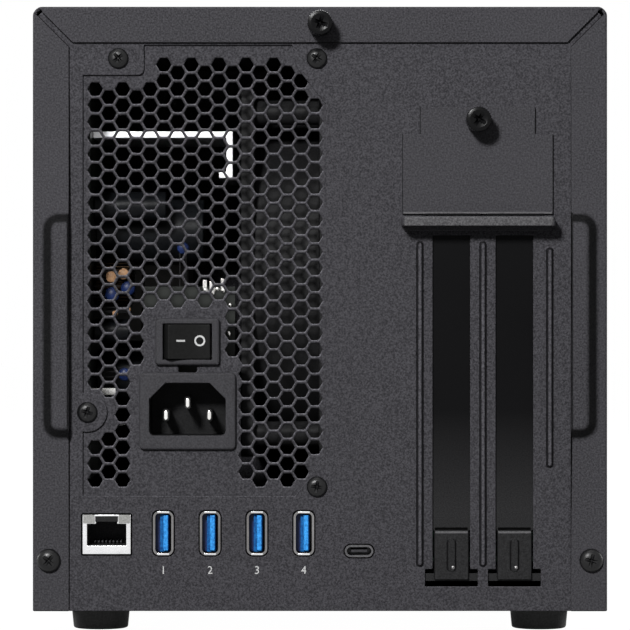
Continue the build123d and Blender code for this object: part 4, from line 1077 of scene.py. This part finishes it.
def make_retainer_edge():
    """Painted highlight on the rolled lower edge of the plate that holds the card brackets."""
    low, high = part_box("slot_retainer")
    inset = 0.4 * mm
    add_block(
        "retainer_highlight_edge", (low.x + inset, low.y - 0.12 * mm, low.z + 0.05 * mm),
        (high.x - inset, low.y + 0.3 * mm, low.z + 0.7 * mm), 0.12 * mm, "pale_edge_coat",
    )


make_slot_cover_details()
make_retainer_edge()


# Inside the supply

def add_rod(shape, start, end, radius):
    """A round lead from one point to another."""
    along = end - start
    turn = along.to_track_quat("Z", "Y").to_matrix().to_4x4()
    bmesh.ops.create_cone(
        shape, cap_ends=True, segments=10, radius1=radius, radius2=radius, depth=along.length,
        matrix=Matrix.Translation((start + end) / 2) @ turn,
    )


def add_disc(shape, centre, radius, thickness):
    """A lens-shaped part that faces the rear."""
    half = thickness / 2
    profile = [
        (0, -half), (radius * 0.6, -half * 0.94), (radius * 0.9, -half * 0.6), (radius, 0),
        (radius * 0.9, half * 0.6), (radius * 0.6, half * 0.94), (0, half),
    ]
    add_turned(shape, profile, centre, 24)


def make_supply_discs():
    """Small parts on leads: brown and blue ones at the supply's board, one above the filter board."""
    thickness = 2.4 * mm
    lead = 0.25 * mm
    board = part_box("psu_circuit_board")[1].x
    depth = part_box("psu_heat_sink")[0].y - 2 * mm
    filter_low, filter_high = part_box("psu_filter_board")
    filter_depth = (filter_low.y + filter_high.y) / 2
    groups = {
        "supply_film_parts": (
            "film_wrap",
            ((-68.4, 115.2, 1.9), (-64.4, 116.2, 1.9), (-67.2, 103.2, 1.0), (-62.8, 104.4, 0.9)),
        ),
        "supply_disc_parts": (
            "disc_lacquer_and_shade", ((-68.2, 109.4, 2.4), (-63.0, 111.4, 2.4), (-64.0, 83.2, 2.2)),
        ),
    }
    leads = bmesh.new()
    for name, (finish, places) in groups.items():
        shape = bmesh.new()
        for x, z, radius in places:
            centre = Vector((x * mm, depth, z * mm))
            add_disc(shape, centre, radius * mm, thickness)
            for shift in (-0.8 * mm, 0.8 * mm):
                end = centre + Vector((0, 0.4 * mm, shift))
                add_rod(leads, Vector((board - 0.4 * mm, end.y, end.z)), end, lead)
        add_piece(name, shape, "chassis", finish)
    guard = Vector((-44.8 * mm, filter_depth, 124.6 * mm))
    shape = bmesh.new()
    add_disc(shape, guard, 2.0 * mm, thickness)
    add_piece("supply_guard_part", shape, "chassis", "disc_lacquer_and_shade")
    for shift in (-1.0 * mm, 1.0 * mm):
        foot = Vector((guard.x + shift, filter_depth, filter_high.z - 0.5 * mm))
        add_rod(leads, foot, guard + Vector((shift, 0, 0)), lead)
    add_piece("supply_leads", leads, "chassis", "fan_plastic")


def make_solder_dots():
    """Tinned joints and clips on the filter board, and terminals at the supply's board."""
    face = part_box("psu_filter_board")[0].y
    dots = bmesh.new()
    for x, z, radius in (
        (-37.4, 110.9, 1.0), (-35.2, 110.2, 1.2), (-33.6, 111.2, 0.8), (-31.6, 110.8, 1.0),
        (-29.3, 106.0, 0.8), (-29.7, 96.6, 0.9),
    ):
        add_dome(dots, Vector((x * mm, face, z * mm)), radius * mm, 0.7)
    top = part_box("psu_filter_board")[1].z
    for x, width, height in ((-37.6, 1.4, 2.2), (-35.2, 1.8, 1.6), (-31.8, 1.2, 2.6)):
        low = ((x - width / 2) * mm, face - 0.4 * mm, top - 1.6 * mm)
        add_box(dots, low, ((x + width / 2) * mm, face + 0.3 * mm, top + height * mm), 0.2 * mm)
    add_piece("supply_solder_dots", dots, "chassis", "pin_metal")
    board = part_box("psu_circuit_board")[1].x
    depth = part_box("psu_heat_sink")[0].y - 2 * mm
    tabs = bmesh.new()
    for x, z, height in ((-67.0, 77.6, 2.2), (-62.6, 67.0, 0.8)):
        low = (board - 0.3 * mm, depth, (z - height / 2) * mm)
        add_box(tabs, low, (x * mm, depth + 5 * mm, (z + height / 2) * mm), 0.15 * mm)
    add_piece("supply_terminals", tabs, "chassis", "pin_metal")


make_supply_discs()
make_solder_dots()


# Main board

def make_board_parts():
    """What stands on the main board: chips, a finned cooler, chokes, cans and the power connector."""
    low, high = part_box("main_board")
    top = high.z
    slot_low, slot_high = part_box("graphics_slot")

    def block(shape, x, y, size, edge, start=0.0):
        half = Vector((size[0] / 2, size[1] / 2, 0))
        base = Vector((x, y, top + start))
        add_box(shape, base - half, base + half + Vector((0, 0, size[2])), edge)

    chips = bmesh.new()
    for x, y, width in ((12, 60, 14), (-20, 95, 9), (55, 70, 7), (-48, 62, 10), (60, 118, 7)):
        block(chips, x * mm, low.y + y * mm, (width * mm, width * mm, 1.2 * mm), 0.15 * mm)
    block(chips, slot_high.x + 16 * mm, low.y + 95 * mm, (9 * mm, 20 * mm, 11 * mm), 0.4 * mm)
    add_piece("board_chips", chips, "chassis", "black_plastic")
    cooler = bmesh.new()
    place = Vector((-14 * mm, low.y + 58 * mm, 0))
    block(cooler, place.x, place.y, (26 * mm, 26 * mm, 2.4 * mm), 0.2 * mm)
    for fin in range(9):
        block(cooler, place.x + (fin - 4) * 3 * mm, place.y, (0.9 * mm, 26 * mm, 7 * mm), 0.15 * mm, 2.2 * mm)
    add_piece("board_cooler", cooler, "chassis", "bare_aluminium")
    chokes = bmesh.new()
    cans = bmesh.new()
    for place in range(5):
        y = low.y + (62 + 11 * place) * mm
        block(chokes, slot_high.x + 29 * mm, y, (7 * mm, 7 * mm, 4 * mm), 0.5 * mm)
        centre = Matrix.Translation((slot_low.x - 9 * mm, y, top + 4 * mm))
        bmesh.ops.create_cone(
            cans, cap_ends=True, segments=28, radius1=3.1 * mm, radius2=3.1 * mm, depth=8 * mm, matrix=centre
        )
    soften(cans, [e for e in cans.edges if e.calc_face_angle(0) > 1], 0.5 * mm, 3)
    add_piece("board_chokes", chokes, "chassis", "winding_tape")
    add_piece("board_cans", cans, "chassis", "bare_aluminium")
    grains = bmesh.new()
    for row in range(6):
        for column in range(7):
            x = (-66 + 4.2 * column) * mm
            y = low.y + (84 + 5.2 * row + 1.3 * (column % 3)) * mm
            block(grains, x, y, (1.6 * mm, 0.8 * mm, 0.5 * mm), 0.08 * mm)
    add_piece("board_small_parts", grains, "chassis", "film_wrap")


make_board_parts()


# Studio

def seen_or_mirrored(tree):
    """1 where the camera looks straight at a surface, or sees it in metal or through glass."""
    path = tree.nodes.new("ShaderNodeLightPath")
    mask = path.outputs["Is Camera Ray"]
    for ray in ("Is Glossy Ray", "Is Transmission Ray"):
        mask = combine(tree, "MAXIMUM", mask, path.outputs[ray])
    return mask


def show_by(tree, mask, first, second, output):
    """Shows the second shader in place of the first as far as the mask says."""
    mix = tree.nodes.new("ShaderNodeMixShader")
    for source, socket in zip((mask, first, second), mix.inputs):
        tree.links.new(source, socket)
    tree.links.new(mix.outputs["Shader"], tree.nodes[output].inputs["Surface"])


def make_floor():
    """Pale floor that shows white to the camera and keeps a soft shadow."""
    shape = bmesh.new()
    bmesh.ops.create_grid(shape, x_segments=1, y_segments=1, size=6.0)
    mesh = bpy.data.meshes.new("floor")
    shape.to_mesh(mesh)
    shape.free()
    floor = bpy.data.objects.new("floor", mesh)
    link(floor)
    material, tree, shader = new_finish("pale floor")
    shader.inputs["Roughness"].default_value = 0.9
    seen = seen_or_mirrored(tree)
    tone = blend_tones(tree, seen, (0.1, 0.1, 0.1), (0.9, 0.9, 0.9))
    tree.links.new(tone, shader.inputs["Base Color"])
    glow = tree.nodes.new("ShaderNodeEmission")
    glow.inputs["Strength"].default_value = 1.045
    glow_share = combine(tree, "MULTIPLY", seen, 0.95)
    show_by(tree, glow_share, shader.outputs["BSDF"], glow.outputs["Emission"], "Material Output")
    mesh.materials.append(material)


def make_world():
    """Even pale surroundings that the camera sees as white."""
    world = bpy.data.worlds.new("studio")
    bpy.context.scene.world = world
    world.use_nodes = True
    tree = world.node_tree
    room = tree.nodes["Background"]
    room.inputs["Color"].default_value = (1.0, 1.0, 1.0, 1.0)
    room.inputs["Strength"].default_value = 0.025
    white = tree.nodes.new("ShaderNodeBackground")
    white.inputs["Color"].default_value = (1.0, 1.0, 1.0, 1.0)
    seen = seen_or_mirrored(tree)
    show_by(tree, seen, room.outputs["Background"], white.outputs["Background"], "World Output")


def add_softbox(name, direction, distance, size, power, target):
    """A square soft light that shines on the object from one direction."""
    lamp = bpy.data.lights.new(name, "AREA")
    lamp.size = size
    lamp.energy = power
    light = bpy.data.objects.new(name, lamp)
    toward = Vector(direction).normalized()
    light.location = target + toward * distance
    light.rotation_euler = toward.to_track_quat("Z", "Y").to_euler()
    link(light)


def make_camera():
    """Long lens straight at the rear of the box."""
    photo_width = 203 * mm
    view_centre = Vector((-1.6 * mm, panel_face, 102.7 * mm))
    distance = 1.15
    lens = bpy.data.cameras.new("camera")
    lens.sensor_width = 36.0
    lens.lens = lens.sensor_width * distance / photo_width
    camera = bpy.data.objects.new("camera", lens)
    camera.location = view_centre + REAR * distance
    camera.rotation_euler = (math.pi / 2, 0, 0)
    link(camera)
    bpy.context.scene.camera = camera


# Direction, distance, size and power of each light
LIGHTS = {
    "key": ((-0.31, -1.0, 0.5), 1.5, 0.2, 28.6),
    "top": ((0.0, -0.1, 1.0), 1.4, 0.8, 4.0),
    "fill": ((0.8, -1.0, 0.3), 1.8, 0.8, 0.4),
    "front": ((0.0, 1.0, 0.8), 1.8, 1.0, 14.0),
    "left side": ((-1.0, 0.8, 0.35), 1.8, 0.8, 22.0),
    "right side": ((1.0, 0.8, 0.35), 1.8, 0.8, 22.0),
}
make_floor()
make_world()
rear_middle = Vector((0, panel_face, (cad_box[0].z + cad_box[1].z) / 2))
for name, values in LIGHTS.items():
    add_softbox(name, *values, rear_middle)
make_camera()
bpy.context.scene.view_settings.view_transform = "Standard"
